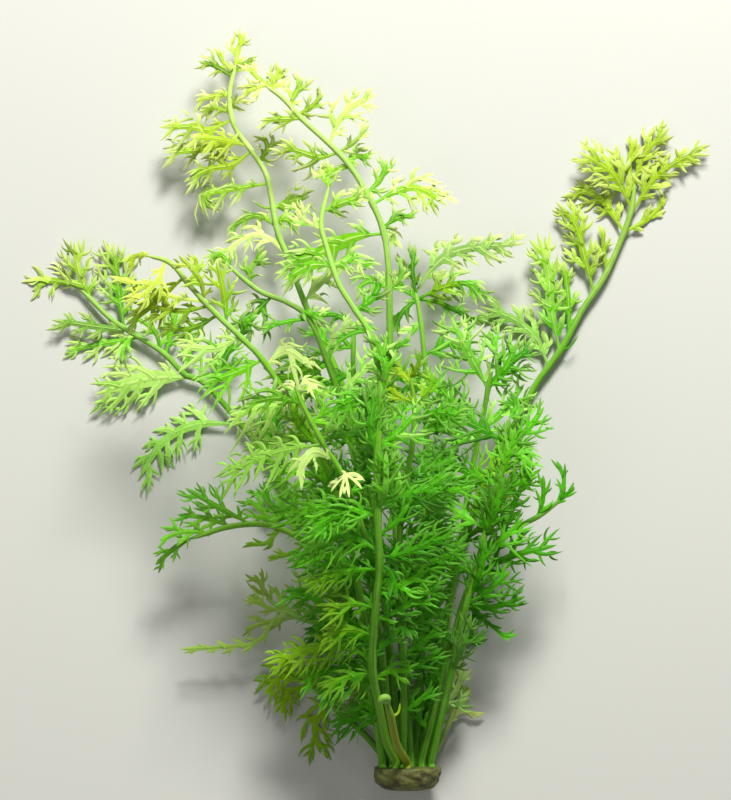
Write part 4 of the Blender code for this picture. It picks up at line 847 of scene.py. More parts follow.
@dataclass
class CoilShape:
    """The coiled tip of a young frond: its stalk rolled up in its own plane, ever tighter.

    Radius, end thickness and rise are shares of the bud's diameter.
    """

    frond: Frond
    turns: float = 1.9
    steps: int = 64
    sides: int = 12
    radius: float = 0.27
    end_thickness: float = 0.07
    tighten: float = 0.13
    rise: float = 0.05
    mark_turn: float = 9.0
    tone: float = 0.7
    pale: float = 0.2

    def fill(self, skin: Skin) -> None:
        """Add the coil to a skin.

        Its middle line is the coil's middle plus the radius times minus cos of the turn sideways and sin of
        the turn ahead, with a radius that shrinks by an eighth each radian.

        Args:
            skin: Where it goes.
        """
        bud = self.frond.bud_diameter
        end, before = (np.asarray(self.frond.route[k], dtype=float) for k in (-1, -2))
        ahead = unit(end - before)
        side = unit(np.cross(ahead, UPWARDS))
        turn = np.linspace(0.0, FULL_TURN * self.turns, self.steps)
        thick = np.interp(turn, [0.0, turn[-1]], [self.radius, self.end_thickness]) * bud
        out = self.radius * bud * np.exp(-self.tighten * turn)
        path = end + out[:, None] * (np.sin(turn)[:, None] * ahead - np.cos(turn)[:, None] * side)
        path[:, 2] += self.rise * bud * turn / math.pi
        angle = np.linspace(0.0, FULL_TURN, self.sides, endpoint=False)
        ring = rings_around(path, thick[:, None], angle)
        far = turn / self.mark_turn
        marks = marks_of(ring.shape[:2], angle / FULL_TURN, far[:, None], self.tone, 0.0, self.pale)
        skin.tubes(ring[None], marks[None])


@dataclass
class LeafShape:
    """A leaf cut into forked straps: a winged midrib, lobes on both sides and fingers on the lobes.

    Sways are what the tips of even and odd leaves rise by, roll the most degrees that a blade turns about
    its midrib, and wave and its rate the height and the radians to a millimetre of the blade's slow wave.
    Inset is how deep the midrib starts in the stalk, as a share of its radius, and step the distance between
    the points of its path. Droops and curls are the ranges of what varies from leaf to leaf.
    """

    frond: Frond
    leaf: Leaf
    order: int
    seed: int
    thickness: float = 0.34
    sways: Pair = (-1.4, 2.2)
    roll: float = 9.0
    wave: float = 0.35
    wave_rate: float = 0.55
    inset: float = 0.2
    step: float = 0.5
    droops: Pair = (0.004, 0.03)
    curls: Pair = (0.4, 1.5)
    hand: HandCut = HandCut()
    lobe: LobeCut = LobeCut()
    finger: FingerCut = FingerCut()

    def __post_init__(self) -> None:
        """Work out the midrib's path and the frame that the straps are laid on."""
        self.rng = np.random.default_rng(self.seed)
        self.tone = float(self.rng.uniform(0.0, 1.0))
        self.droop = float(self.rng.uniform(*self.droops))
        self.curl = float(self.rng.uniform(*self.curls)) * self.frond.curl
        by_place = min(max((self.leaf.axis[0][1] - LOOSE_FROM) / LOOSE_OVER, 0.0), 1.0)
        self.loose = max(self.frond.loose, self.leaf.loose, by_place)
        self.web = max(self.leaf.web, 0.2 * self.loose)
        stalk = StalkShape(self.frond)
        middle = stalk.path()
        along = lengths(middle)
        flat = np.asarray(self.leaf.axis, dtype=float)
        near = int(np.argmin(np.linalg.norm(middle[:, :2] - flat[0], axis=1)))
        root = middle[near]
        self.joint = float(along[near])
        radius = float(stalk.radii(along)[near])
        way = unit(np.array([flat[1, 0] - root[0], flat[1, 1] - root[1], 0.0]))
        steps = np.linalg.norm(np.diff(flat, axis=0), axis=1)
        share = np.cumsum(steps) / steps.sum()
        height = root[2] + (self.leaf.lift + self.sways[self.order % 2]) * share**0.55
        guide = np.vstack([root + way * self.inset * radius, np.column_stack([flat[1:], height])])
        self.path = smooth_path(guide, self.step)
        self.along = lengths(self.path)
        self.length = float(self.along[-1])
        self.run = directions(self.path)
        side = unit(np.cross(UPWARDS, self.run))
        up = np.cross(self.run, side)
        roll = math.radians(self.roll * math.sin(2.4 * self.order + len(self.frond.name)))
        self.side = side * math.cos(roll) + up * math.sin(roll)
        self.up = up * math.cos(roll) - side * math.sin(roll)

    def surface(self, u: np.ndarray, v: np.ndarray, lift: np.ndarray) -> np.ndarray:
        """Lay points on the leaf's curved blade.

        A point is the midrib at u, plus v sideways, less droop times v squared and plus a slow wave upwards.

        Args:
            u: Distances along the midrib; past its end they run straight on.
            v: Distances across it.
            lift: Further heights over the blade.

        Returns:
            The points in space, with one more axis than u.
        """
        held = np.clip(u, 0.0, self.length)
        base = sample(self.path, self.along, held)
        past = (u - held)[..., None]
        base = base + past * self.run[-1]
        side = sample(self.side, self.along, held)
        up = sample(self.up, self.along, held)
        wave = self.wave * np.sin(self.wave_rate * u + 3.0 * self.tone) * np.tanh(np.abs(v) / 3.0)
        return base + v[..., None] * side + (lift + wave - self.droop * v**2)[..., None] * up

    def straps(
        self,
        skin: Skin,
        u: np.ndarray,
        v: np.ndarray,
        width: np.ndarray,
        lift: np.ndarray,
        tilt: np.ndarray,
        tip: np.ndarray,
        sag: bool = True,
    ) -> None:
        """Add a batch of thin straps to a skin.

        Each ring is a flat lens with a groove: the strap's edge vector times a, plus its normal times b.

        Args:
            skin: Where they go.
            u: Middle lines along the midrib, as straps and stations.
            v: Middle lines across it.
            width: Half widths at the stations.
            lift: Heights over the blade.
            tilt: How far each strap turns about its own line.
            tip: How near each station is to its strap's tip, from 0 to 1.
            sag: Whether the straps hang towards the crown, by the leaf's curl times their length squared.
        """
        du = np.gradient(u, axis=1)
        dv = np.gradient(v, axis=1)
        size = np.maximum(np.hypot(du, dv), 1e-6)
        du, dv = du / size, dv / size
        turn = tilt[:, None] * width
        left = self.surface(u + dv * width, v - du * width, lift - turn)
        right = self.surface(u - dv * width, v + du * width, lift + turn)
        if sag:
            far = np.cumsum(size, axis=1) - size[:, :1]
            drop = self.curl * far**2
            left[..., 1] -= drop
            right[..., 1] -= drop
        middle = (left + right) / 2
        edge = (right - left) / 2
        run = directions(middle)
        thick = self.thickness / 2 * np.minimum(1.0, width / 0.5)
        normal = unit(np.cross(run, edge)) * thick[..., None]
        clear = np.maximum(0.0, FLOOR_GAP + np.abs(edge[..., 2]) + np.abs(normal[..., 2]) - middle[..., 2])
        middle[..., 2] += clear
        rings = (
            middle[:, :, None, :]
            + edge[:, :, None, :] * RING_ACROSS[:, None]
            + normal[:, :, None, :] * RING_THROUGH[:, None]
        )
        # How near each point is to the leaf's rim or end, where the blade's finish paints highlights.
        reach = np.abs(v) / max(self.leaf.half_width, 1.0)
        outer = np.clip(np.maximum(reach, (u / self.length - 0.75) * 4.0), 0.0, 1.0)
        along = (0.4 * outer + 0.6 * tip)[:, :, None]
        # A tone for each strap, partly the leaf's and partly its own at random, which the finish spreads
        # into painted shade and painted light.
        single = 0.4 * (1.0 - 0.6 * self.web)
        tone = ((1.0 - single) * self.tone + single * self.rng.uniform(0, 1, len(u)))[:, None, None]
        youth = youth_at(self.frond.name, middle)[:, :, None]
        # The leaf's paling towards cream, partly its own lost green and partly painted highlight.
        pale = max(self.frond.pale, self.leaf.pale)
        skin.tubes(rings, marks_of(rings.shape[:3], 0.5 + 0.5 * RING_ACROSS, along, tone, youth, pale))

    def fill(self, skin: Skin) -> None:
        """Add the whole leaf to a skin: a small hand, or the midrib, its lobes and their fingers.

        Args:
            skin: Where it goes.
        """
        if self.leaf.rays:
            self.fan(skin)
            return
        self.midrib(skin)
        if self.leaf.half_width >= LEAST_LOBED:
            self.fingers(skin, self.lobes(skin))

    def midrib(self, skin: Skin) -> None:
        """Add the winged midrib: narrow at its foot, widest before its middle and pointed at its tip.

        Args:
            skin: Where it goes.
        """
        count = max(12, round(self.length / 1.5))
        share = np.linspace(0.0, 1.0, count)
        wing = min(0.55 + 0.12 * self.leaf.half_width, 0.09 * self.length + 0.5)
        wing = wing * (1.0 - 0.15 * self.loose) + 0.2 * self.web * self.leaf.half_width
        stations = [0.0, 0.1, 0.35, 0.7, 0.85, 0.94, 1.0]
        width = np.interp(share, stations, [0.6, 0.5, wing, 0.8 * wing, 0.9, 0.6, 0.06])
        if self.leaf.half_width < LEAST_LOBED:
            width = np.interp(share, *THREAD)
        u = (share * self.length)[None]
        flat = np.zeros_like(u)
        tip = np.clip(4 * share - 3, 0, 1)[None]
        self.straps(skin, u, flat, width[None], flat, np.zeros(1), tip, sag=False)

    def fan(self, skin: Skin) -> None:
        """Add a small hand: a short foot and fingers spread about the midrib's end, each with one side tip.

        Finger k runs from the palm at an angle spread over 184 degrees, and its side tip leaves it half way,
        37 degrees aside.

        Args:
            skin: Where it goes.
        """
        cut, rays = self.hand, self.leaf.rays
        palm = cut.palm * self.length
        middle = palm - cut.sunk
        share = np.linspace(0.0, 1.0, 8)[None]
        foot = np.interp(share, *HAND_FOOT)
        zero = np.zeros_like(share)
        self.straps(skin, share * palm, zero, foot, zero, np.zeros(1), zero, sag=False)
        angle = np.radians(np.linspace(*cut.spread, rays))
        angle = angle + self.rng.uniform(*cut.turns, rays)
        size = (self.leaf.half_width * self.rng.uniform(*cut.sizes, rays))[:, None]
        bend = angle[:, None] - cut.bow * angle[:, None] * share**2
        u = middle + size * share * np.cos(bend)
        v = size * share * np.sin(bend)
        width = np.interp(share, *RAY) * np.ones_like(u)
        end = self.rng.uniform(*cut.rises, rays)[:, None]
        tilt = self.rng.uniform(*cut.tilts, rays)
        self.straps(skin, u, v, width, end * share**1.4, tilt, share * np.ones_like(u))
        aside = angle[:, None] + np.where(np.arange(rays) % 2, -cut.aside, cut.aside)[:, None]
        half = 0.5 * size
        u = middle + half * np.cos(angle)[:, None] + cut.side_tip * half * share * np.cos(aside)
        v = half * np.sin(angle)[:, None] + cut.side_tip * half * share * np.sin(aside)
        rise = end * (0.38 + 0.4 * share)
        self.straps(skin, u, v, 0.8 * width, rise, tilt, (0.5 + 0.5 * share) * np.ones_like(u))

    def lobes(self, skin: Skin) -> Lobes:
        """Add the lobes, alternate along the midrib and leaning to its tip.

        A lobe's middle line is a quadratic curve from the midrib to a point its reach out and its lean
        times its reach on. The reach goes as a sine along the leaf, and no tip passes far over its end.

        Args:
            skin: Where they go.

        Returns:
            The lobes' middle lines and rises.
        """
        cut = self.lobe
        spacing = cut.spacing + cut.loose_spacing * self.loose + cut.web_spacing * self.web
        count = 2 * max(2, round(cut.lobed_share * self.length / spacing))
        share = np.linspace(cut.first + cut.loose_first * self.loose, cut.last, count)
        share = share + self.rng.uniform(*cut.places, count) * (share[1] - share[0])
        stations = share * self.length
        hands = np.where(np.arange(count) % 2, 1.0, -1.0)
        spread = self.leaf.half_width * float(np.interp(self.leaf.half_width, [5.0, 9.0], [1.14, 0.9]))
        belly = np.sin(math.pi * np.minimum(share * 1.15 + 0.1, 1.0))
        reach = spread * (0.62 + 0.38 * belly)
        reach *= np.interp(share, [0.1, 0.3], [0.62, 1.0]) * self.rng.uniform(*cut.reaches, count)
        lean = np.interp(share, [0.15, 0.9], [0.8, 1.7]) + self.rng.uniform(*cut.leans, count)
        lean = lean + 0.35 * (1.0 - self.loose)
        ahead = np.maximum(self.length + 0.45 * self.leaf.half_width - stations, 0.5 * reach)
        lean = np.minimum(lean, ahead / reach)
        bow = self.rng.uniform(*cut.bows, count)
        flat = 1.0 - 0.6 * self.web
        held = Lobes(
            u=np.stack(
                [stations - cut.sunk, stations + 0.2 * lean * reach, stations + lean * reach], axis=-1
            ),
            v=np.stack([np.zeros_like(reach), bow * reach, reach], axis=-1),
            hands=hands,
            rise=flat * self.rng.uniform(*cut.rises, count) * np.minimum(reach / 4.0, 1.5),
            size=reach * np.hypot(1.0, lean),
        )
        t = np.array(cut.steps)[None]
        u, v = held.points(t)
        foot = 0.75 + 0.05 * self.leaf.half_width
        fine = np.interp(t, [0.0, 0.16, 0.36, 0.68, 0.88, 1.0], [foot, 0.95 * foot, 0.6, 0.53, 0.29, 0.04])
        full = np.interp(t, *FULL_LOBE)
        width = self.frond.broad * (fine + (full - fine) * self.loose)
        width = width * np.interp(held.size, [3.0, 7.0], [0.78, 1.0])[:, None] * (1.0 + self.web * (1.0 - t))
        tilt = self.rng.uniform(*cut.tilts, count) * flat
        self.straps(skin, u, v, width, held.rise[:, None] * t**1.6, tilt, t * np.ones_like(u))
        return held

    def fingers(self, skin: Skin, lobes: Lobes) -> None:
        """Add lance-shaped fingers that fork from the lobes, on their outer and inner sides.

        A finger leaves its lobe's curve at a share f of it and runs on, turned aside and bending back.

        Args:
            skin: Where they go.
            lobes: The lobes that they grow from.
        """
        cut = self.finger
        t = np.array(cut.steps)[None]
        for fork in FORKS:
            kept = lobes.size > fork.least
            if not kept.any():
                continue
            held = lobes.only(kept)
            count = len(held.size)
            f = fork.leave + self.rng.uniform(*cut.places, count)
            u0, v0 = held.points(f[:, None])
            angle = held.angle(f) + fork.aside * (self.rng.uniform(*cut.turns, count) + 0.15 * self.loose)
            size = fork.long * (1.0 - 0.35 * self.web) * held.size * self.rng.uniform(*cut.sizes, count)
            bend = angle[:, None] - self.rng.uniform(*cut.bends, count)[:, None] * fork.aside * t**2
            u = u0 + size[:, None] * t * np.cos(bend)
            v = v0 + held.hands[:, None] * size[:, None] * t * np.sin(bend)
            fine, full = np.interp(t, *FINE_FINGER), np.interp(t, *FULL_FINGER)
            width = self.frond.broad * (fine + (full - fine) * self.loose)
            width = width * np.interp(size, [1.5, 5.5], [0.66, 1.0])[:, None]
            rise = (held.rise * f**1.6)[:, None] + self.rng.uniform(*cut.rises, count)[:, None] * t**1.5
            tilt = self.rng.uniform(*cut.tilts, count)
            self.straps(skin, u, v, width, rise, tilt, t * np.ones_like(u))


@dataclass
class CrownShape:
    """The rootstock: a short rough knob that the stalks stand on."""

    width: float = 24.5
    length: float = 8.5
    depth: float = 21.4
    sides: int = 64
    step: float = 0.04
    tone: float = 0.4

    def fill(self, skin: Skin) -> None:
        """Add the knob to a skin.

        Rings run from the flat top round to the root end: ovals of the profile's radius, rough by waves.

        Args:
            skin: Where it goes.
        """
        turn = np.linspace(0.0, FULL_TURN, self.sides, endpoint=False)[None, :]
        profile = smooth_path(CROWN_PROFILE, self.step)
        wide = profile[:, 0][:, None]
        deep = profile[:, 1][:, None] * self.length
        is_rough = wide > 0.2
        rough = 1.0 - 0.05 * (0.5 + 0.5 * np.sin(9 * turn + 2.0 * np.sin(deep))) * is_rough
        rough = rough - 0.03 * (0.5 + 0.5 * np.sin(17 * turn - 1.3 * deep)) * is_rough
        x = CROWN_MIDDLE + self.width * wide * rough * np.cos(turn)
        z = self.depth * (0.5 + wide * rough * np.sin(turn))
        y = CROWN_TOP + deep * np.ones_like(turn)
        ring = np.stack([x, y, z], axis=-1)
        marks = marks_of(ring.shape[:2], turn / FULL_TURN, -deep / self.length, self.tone, 0.0, 0.0)
        skin.tubes(ring[None], marks[None])


@dataclass(frozen=True)
class Greens:
    """Colours of a living surface from the crown to the frond tips, linear red, green and blue.

    The greens lighten upwards partly with the plant's younger growth and partly as painted light from above,
    and tip is also the colour of painted highlights.
    """

    low: Colour
    middle: Colour
    high: Colour
    tip: Colour
    young: Colour


LEAF_GREENS = Greens(
    low=(0.050, 0.350, 0.001),
    middle=(0.096, 0.550, 0.001),
    high=(0.420, 0.680, 0.036),
    tip=(0.860, 0.910, 0.380),
    young=(0.500, 0.640, 0.012),
)
STALK_GREENS = Greens(
    low=(0.070, 0.330, 0.001),
    middle=(0.120, 0.430, 0.003),
    high=(0.430, 0.700, 0.130),
    tip=(0.640, 0.800, 0.260),
    young=(0.270, 0.290, 0.006),
)


MOTTLE_GREEN = (0.03, 0.12, 0.001)

# Stretches along the plant, in metres: from low to middle green, from middle to high, and to painted
# highlights on the tips. The greens lighten upwards partly as the plant's own younger green and partly as
# painted light from above.
LOWER_RISE = (-0.035, 0.07)
UPPER_RISE = (0.08, 0.2)
HIGHLIGHT_RISE = (-0.055, 0.08)


class NodeBuilder:
    """Places shader nodes in a tree and joins them."""

    def __init__(self, tree: bpy.types.NodeTree) -> None:
        """Take the tree to build in."""
        self.tree = tree
        self.column = 0

    def add(self, kind: str, **values: object) -> bpy.types.Node:
        """Add a node and set its own properties.

        Args:
            kind: The node's type name.
            values: Properties of the node.

        Returns:
            The new node.
        """
        node = self.tree.nodes.new(kind)
        node.location = (self.column * 180, 0)
        self.column += 1
        for key, value in values.items():
            setattr(node, key, value)
        return node

    def join(self, source: bpy.types.NodeSocket, target: bpy.types.NodeSocket) -> None:
        """Join two sockets."""
        self.tree.links.new(source, target)

    def number(self, operation: str, *values: object) -> bpy.types.NodeSocket:
        """Add a Math node.

        Args:
            operation: What it works out.
            values: Its inputs, sockets or plain numbers.

        Returns:
            The result's socket.
        """
        node = self.add("ShaderNodeMath", operation=operation)
        for slot, value in zip(node.inputs, values):
            if isinstance(value, bpy.types.NodeSocket):
                self.join(value, slot)
            else:
                slot.default_value = value
        return node.outputs[0]

    def ramp(self, value: bpy.types.NodeSocket, low: float, high: float) -> bpy.types.NodeSocket:
        """Map a value smoothly to between 0 and 1.

        Args:
            value: The value's socket.
            low: What gives 0.
            high: What gives 1.

        Returns:
            The result's socket.
        """
        node = self.add("ShaderNodeMapRange", interpolation_type="SMOOTHSTEP")
        self.join(value, node.inputs["Value"])
        node.inputs["From Min"].default_value = low
        node.inputs["From Max"].default_value = high
        return node.outputs["Result"]

    def mix(self, share: object, first: object, second: object, blend: str = "MIX") -> bpy.types.NodeSocket:
        """Mix two colours.

        Args:
            share: How much of the second shows, a socket or a number.
            first: A colour or a socket.
            second: A colour or a socket.
            blend: The way of mixing.

        Returns:
            The mixed colour's socket.
        """
        node = self.add("ShaderNodeMix", data_type="RGBA", blend_type=blend)
        places = (node.inputs[0], node.inputs[6], node.inputs[7])
        for slot, value in zip(places, (share, first, second)):
            if isinstance(value, bpy.types.NodeSocket):
                self.join(value, slot)
            elif isinstance(value, tuple):
                slot.default_value = (*value, 1.0)
            else:
                slot.default_value = value
        return node.outputs[2]

    def noise(self, scale: float, detail: float, coordinates: bpy.types.NodeSocket) -> bpy.types.NodeSocket:
        """Add a noise.

        Args:
            scale: Its grains to a unit of the coordinates, about.
            detail: How many finer layers it has.
            coordinates: The coordinates' socket.

        Returns:
            The noise's socket, from 0 to 1.
        """
        node = self.add("ShaderNodeTexNoise")
        node.inputs["Scale"].default_value = scale
        node.inputs["Detail"].default_value = detail
        self.join(coordinates, node.inputs["Vector"])
        return node.outputs["Fac"]

    def place(self) -> bpy.types.NodeSocket:
        """Add the object coordinates, in metres."""
        return self.add("ShaderNodeTexCoord").outputs["Object"]

    def split(self, vector: bpy.types.NodeSocket) -> bpy.types.NodeOutputs:
        """Split a vector.

        Args:
            vector: The vector's socket.

        Returns:
            Its parts X, Y and Z.
        """
        node = self.add("ShaderNodeSeparateXYZ")
        self.join(vector, node.inputs[0])
        return node.outputs

    def mark(self, name: str) -> bpy.types.NodeSocket:
        """Add one of the mesh's own numbers and return its value."""
        return self.add("ShaderNodeAttribute", attribute_name=name).outputs["Fac"]

    def bump(
        self, shader: bpy.types.Node, height: bpy.types.NodeSocket, strength: float, distance: float
    ) -> None:
        """Raise a shader's surface.

        Args:
            shader: The shader.
            height: The height's socket.
            strength: How much of it shows, from 0 to 1.
            distance: How high a height of 1 is, in metres.
        """
        node = self.add("ShaderNodeBump")
        node.inputs["Strength"].default_value = strength
        node.inputs["Distance"].default_value = distance
        self.join(height, node.inputs["Height"])
        self.join(node.outputs["Normal"], shader.inputs["Normal"])


def new_material(name: str) -> tuple[bpy.types.Material, bpy.types.Node, NodeBuilder]:
    """Make a material with nodes.

    Args:
        name: The material's name.

    Returns:
        The material, its shader and a builder for its tree.
    """
    made = bpy.data.materials.new(name)
    made.use_nodes = True
    return made, made.node_tree.nodes["Principled BSDF"], NodeBuilder(made.node_tree)


def growth_and_light_group() -> bpy.types.NodeTree:
    """Build the group that gives a living surface its green, from dark at the crown to light at the tips:
    partly the plant's own older and younger green, and partly painted light from above.

    The green goes by y, plus half the distance aside from the crown, so that the middle of the plant carries
    painted shade and its sides painted light, plus a slow noise.

    Returns:
        The group, with three greens in and the colour and a mottle mask out.
    """
    tree = bpy.data.node_groups.new("growth", "ShaderNodeTree")
    for label in ("Low", "Middle", "High"):
        tree.interface.new_socket(label, in_out="INPUT", socket_type="NodeSocketColor")
    tree.interface.new_socket("Color", in_out="OUTPUT", socket_type="NodeSocketColor")
    tree.interface.new_socket("Mottle", in_out="OUTPUT", socket_type="NodeSocketFloat")
    build = NodeBuilder(tree)
    given = build.add("NodeGroupInput")
    result = build.add("NodeGroupOutput")
    place = build.place()
    split = build.split(place)
    broad = build.noise(28.0, 2.0, place)
    fine = build.noise(420.0, 3.0, place)
    # Painted shade: the middle of the plant darkens and its sides lighten, by half their distance aside.
    aside = build.number("ABSOLUTE", build.number("SUBTRACT", split["X"], CROWN_ASIDE))
    outward = build.number("MULTIPLY_ADD", aside, 0.5, split["Y"])
    height = build.number("MULTIPLY_ADD", broad, 0.08, outward)
    lower = build.ramp(height, *LOWER_RISE)
    upper = build.ramp(height, *UPPER_RISE)
    colour = build.mix(lower, given.outputs["Low"], given.outputs["Middle"])
    colour = build.mix(upper, colour, given.outputs["High"])
    shade = build.ramp(fine, 0.25, 0.75)
    colour = build.mix(build.number("MULTIPLY", shade, 0.28), colour, MOTTLE_GREEN)
    build.join(colour, result.inputs["Color"])
    build.join(shade, result.inputs["Mottle"])
    return tree


@dataclass(frozen=True)
class LivingFinish:
    """A satin plant surface: its greens, its shine, how far its veins or ribs stand, and its tones.

    Shade and glow are what the darkest and the lightest straps or stalks multiply their green by: tones that
    differ at random, spread wide into painted shade and painted light.
    """

    name: str
    greens: Greens
    roughness: float
    relief: float
    is_blade: bool
    shade: Colour
    glow: Colour
    specular: float = 0.14
    bump_distance: float = 0.0003

    def build(self, growth: bpy.types.NodeTree) -> bpy.types.Material:
        """Make the material.

        Args:
            growth: The shared group that colours by height, partly with painted light and shade.

        Returns:
            The material.
        """
        made, shader, build = new_material(self.name)
        green = build.add("ShaderNodeGroup", node_tree=growth)
        for label in ("Low", "Middle", "High"):
            green.inputs[label].default_value = (*getattr(self.greens, label.lower()), 1.0)
        # Painted shade and painted light: each strap's tone multiplies its green by between shade and glow.
        tint = build.mix(build.mark("tone"), self.shade, self.glow)
        colour = build.mix(1.0, green.outputs["Color"], tint, "MULTIPLY")
        colour, relief = self.blade(build, colour) if self.is_blade else self.ribs(build, colour)
        colour = build.mix(build.number("MULTIPLY", build.mark("youth"), 0.8), colour, self.greens.young)
        colour = build.mix(build.mark("pale"), colour, self.greens.tip)
        build.join(colour, shader.inputs["Base Color"])
        rough = build.number("MULTIPLY_ADD", green.outputs["Mottle"], 0.14, self.roughness)
        build.join(rough, shader.inputs["Roughness"])
        build.bump(shader, relief, self.relief, self.bump_distance)
        shader.inputs["Specular IOR Level"].default_value = self.specular
        return made

    def blade(
        self, build: NodeBuilder, colour: bpy.types.NodeSocket
    ) -> tuple[bpy.types.NodeSocket, bpy.types.NodeSocket]:
        """Paint highlights on the tips, the lightest straps and the veins of a blade, the more so the higher
        they are, as if lit from above; the veins are also a paler green of their own.

        Args:
            build: The builder of the material's tree.
            colour: The blade's green.

        Returns:
            The blade's colour and the height of its vein.
        """
        # How high the blade lies, which strengthens its painted highlights.
        high = build.ramp(build.split(build.place())["Y"], *HIGHLIGHT_RISE)
        across, along, _ = build.split(build.add("ShaderNodeUVMap", uv_map="blade").outputs["UV"])
        # Painted highlight: the outer parts of the leaf whiten towards cream, the more so the higher it
        # lies.
        tip = build.ramp(along, 0.1, 0.85)
        steep = build.number("MULTIPLY", high, high)
        top_highlight = build.number("MULTIPLY", tip, build.number("MULTIPLY_ADD", steep, 0.52, 0.05))
        colour = build.mix(top_highlight, colour, self.greens.tip)
        # Painted highlight: the lightest straps whiten, the more so the higher they lie.
        lit = build.number("MULTIPLY", build.ramp(build.mark("tone"), 0.6, 0.84), 0.7)
        colour = build.mix(build.number("MULTIPLY", lit, high), colour, self.greens.tip)
        # A paler midrib, whitened further by painted highlight the higher it lies.
        off = build.number("ABSOLUTE", build.number("SUBTRACT", across, 0.5))
        vein = build.number("SUBTRACT", 1.0, build.ramp(off, 0.02, 0.16))
        shown = build.number("MULTIPLY", vein, build.number("MULTIPLY_ADD", high, 0.34, 0.02))
        return build.mix(shown, colour, self.greens.tip), vein

    def ribs(
        self, build: NodeBuilder, colour: bpy.types.NodeSocket
    ) -> tuple[bpy.types.NodeSocket, bpy.types.NodeSocket]:
        """Pale the long ribs of a stalk.

        Args:
            build: The builder of the material's tree.
            colour: The stalk's green.

        Returns:
            The stalk's colour and the height of its ribs.
        """
        stretch = build.add("ShaderNodeMapping")
        stretch.inputs["Scale"].default_value = (26.0, 1.2, 1.0)
        build.join(build.add("ShaderNodeUVMap", uv_map="blade").outputs["UV"], stretch.inputs["Vector"])
        relief = build.noise(1.0, 3.0, stretch.outputs["Vector"])
        stripe = build.ramp(relief, 0.4, 0.7)
        return build.mix(build.number("MULTIPLY", stripe, 0.3), colour, self.greens.tip), relief


@dataclass(frozen=True)
class RootstockFinish:
    """A matt, rough olive-brown rootstock with darker scars."""

    name: str = "rootstock"
    base: Colour = (0.13, 0.15, 0.03)
    scar: Colour = (0.05, 0.035, 0.012)
    relief: float = 0.7
    bump_distance: float = 0.0008

    def build(self) -> bpy.types.Material:
        """Make the material.

        Returns:
            The material.
        """
        made, shader, build = new_material(self.name)
        place = build.place()
        patch = build.noise(260.0, 4.0, place)
        grain = build.noise(900.0, 3.0, place)
        colour = build.mix(build.ramp(patch, 0.42, 0.66), self.base, self.scar)
        build.join(colour, shader.inputs["Base Color"])
        build.join(build.number("MULTIPLY_ADD", grain, 0.3, 0.5), shader.inputs["Roughness"])
        height = build.number("MULTIPLY_ADD", grain, 0.5, patch)
        build.bump(shader, height, self.relief, self.bump_distance)
        return made


@dataclass
class Studio:
    """The pale floor, the soft lights and the camera that looks down on the plant.

    Scale is the millimetres to a pixel of the photograph, at level millimetres over the floor. Long side,
    middle and crown are the photograph's longer side, its middle and the tables' origin in it, in pixels.
    All else is in metres.
    """

    shift: np.ndarray
    height: float = 1.5
    scale: float = 0.35
    level: float = 30.0
    long_side: float = 800.0
    middle: Pair = (365.5, 400.0)
    crown: Pair = (408.0, 778.0)
    sensor: float = 36.0
    clip: Pair = (0.01, 20.0)
    aim: tuple[float, float, float] = (0.0, 0.02, 0.03)
    lamp_colour: Colour = (1.0, 1.0, 0.92)
    sky_colour: Colour = (1.0, 1.0, 0.96)
    sky_strength: float = 0.18
    floor_colour: Colour = (0.62, 0.62, 0.60)
    floor_roughness: float = 0.8
    floor_half: float = 3.0
    floor_drop: float = 0.0002

    def camera(self) -> None:
        """Put the camera over the middle of the photograph's frame."""
        data = bpy.data.cameras.new("camera")
        data.sensor_fit = "AUTO"
        data.sensor_width = self.sensor
        data.lens = self.sensor * (self.height - self.level * MM) / (self.long_side * self.scale * MM)
        data.clip_start, data.clip_end = self.clip
        made = new_object("camera", data)
        x = (self.middle[0] - self.crown[0]) * self.scale * MM
        y = (self.crown[1] - self.middle[1]) * self.scale * MM
        made.location = (x + self.shift[0], y + self.shift[1], self.height)
        bpy.context.scene.camera = made

    def floor(self) -> None:
        """Lay the pale floor just under the plant."""
        mesh = bpy.data.meshes.new("floor")
        half = self.floor_half
        corners = [(-half, -half, 0.0), (half, -half, 0.0), (half, half, 0.0), (-half, half, 0.0)]
        mesh.from_pydata(corners, [], [(0, 1, 2, 3)])
        pale, shader, _ = new_material("floor")
        shader.inputs["Base Color"].default_value = (*self.floor_colour, 1.0)
        shader.inputs["Roughness"].default_value = self.floor_roughness
        mesh.materials.append(pale)
        made = new_object("floor", mesh)
        made.location = (0.0, 0.0, -self.floor_drop)

    def light(self, name: str, place: tuple[float, float, float], size: float, power: float) -> None:
        """Hang a square soft light that faces the plant.

        Args:
            name: The light's name.
            place: Where it hangs, in metres.
            size: The length of its side.
            power: Its power in watts.
        """
        data = bpy.data.lights.new(name, "AREA")
        data.size = size
        data.energy = power
        data.color = self.lamp_colour
        made = new_object(name, data)
        made.location = place
        aim = np.array(self.aim) - np.asarray(place)
        flat = math.hypot(aim[0], aim[1])
        made.rotation_euler = (math.atan2(flat, -aim[2]), 0.0, math.atan2(aim[0], -aim[1]) + math.pi)

    def build(self) -> None:
        """Make the whole studio."""
        self.camera()
        self.floor()
        self.light("key", (0.15, 0.9, 0.75), 0.3, 22.0)
        self.light("fill", (-0.6, -0.3, 1.1), 0.9, 2.2)
        bpy.context.scene.view_settings.view_transform = "Standard"
        world = bpy.data.worlds.new("studio")
        world.use_nodes = True
        background = world.node_tree.nodes["Background"]
        background.inputs["Color"].default_value = (*self.sky_colour, 1.0)
        background.inputs["Strength"].default_value = self.sky_strength
        bpy.context.scene.world = world


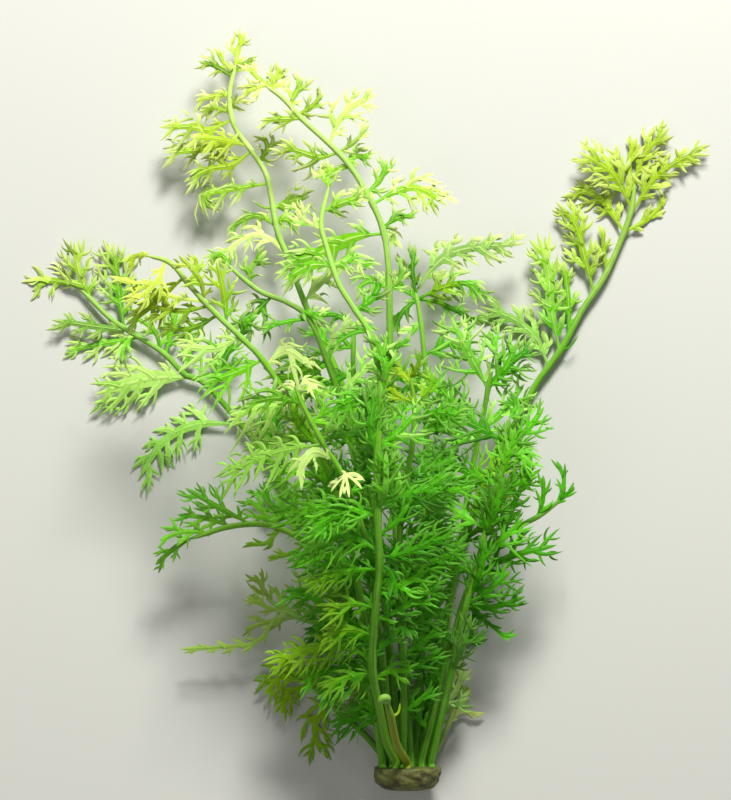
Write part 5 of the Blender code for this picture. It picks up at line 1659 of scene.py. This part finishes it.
@dataclass
class Plant:
    """The whole plant: every frond with its leaves, and the crown."""

    shift: np.ndarray
    stalk_finish: bpy.types.Material
    leaf_finish: bpy.types.Material
    rootstock_finish: bpy.types.Material

    def settle(self, skin: Skin, name: str, node: str, finish: bpy.types.Material) -> None:
        """Make a piece from a skin and let it stand for its solid.

        Args:
            skin: The piece's surface.
            name: The piece's name.
            node: The solid that it replaces.
            finish: Its material.
        """
        made = skin.piece(name, self.shift, finish)
        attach(made, "root")
        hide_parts(node)
        LOG.info("%s: %d quads", name, len(made.data.polygons))

    def frond(self, number: int, frond: Frond) -> None:
        """Build one frond: its stalk, its small leaves together and each of its large leaves as a piece of
        its own.

        Args:
            number: The frond's place in the table.
            frond: Its entry.
        """
        stalk, small = Skin(), Skin()
        joints = []
        for order, entry in enumerate(frond.leaves):
            shape = LeafShape(frond, entry, order, seed=SEEDS_A_FROND * number + order)
            joints.append(shape.joint)
            if entry.name:
                large = Skin()
                shape.fill(large)
                node = f"{frond.name}_{entry.name}"
                self.settle(large, f"{node}_blade", node, self.leaf_finish)
            else:
                shape.fill(small)
        tone = float(np.random.default_rng(number).uniform(0.1, 0.9))
        StalkShape(frond).fill(stalk, joints, tone)
        if frond.bud_diameter:
            CoilShape(frond).fill(stalk)
        self.settle(stalk, f"{frond.name}_stalk", frond.name, self.stalk_finish)
        if small.points:
            self.settle(small, f"{frond.name}_small_leaves", frond.name, self.leaf_finish)

    def build(self) -> None:
        """Build every frond and the crown."""
        for number, frond in enumerate(FRONDS):
            self.frond(number, frond)
        skin = Skin()
        CrownShape().fill(skin)
        self.settle(skin, "crown_rootstock", "crown", self.rootstock_finish)


def main() -> None:
    """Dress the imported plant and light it."""
    logging.basicConfig(level=logging.INFO, format="%(message)s")
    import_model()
    low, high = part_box("crown")
    shift = np.array([(low[0] + high[0]) / 2 - CROWN_MIDDLE * MM, high[1] - CROWN_TOP * MM, 0.0])
    Studio(shift).build()
    growth = growth_and_light_group()
    # Shade and glow paint shade and light on the darkest and the lightest straps and stalks.
    leaf_finish = LivingFinish(
        "leaf_blade", LEAF_GREENS, 0.42, 0.5, True, shade=(0.27, 0.45, 0.22), glow=(1.75, 1.42, 1.7)
    ).build(growth)
    stalk_finish = LivingFinish(
        "fleshy_stalk", STALK_GREENS, 0.38, 0.35, False, shade=(0.6, 0.7, 0.6), glow=(1.3, 1.2, 1.5)
    ).build(growth)
    Plant(shift, stalk_finish, leaf_finish, RootstockFinish().build()).build()


if __name__ == "__main__":
    main()
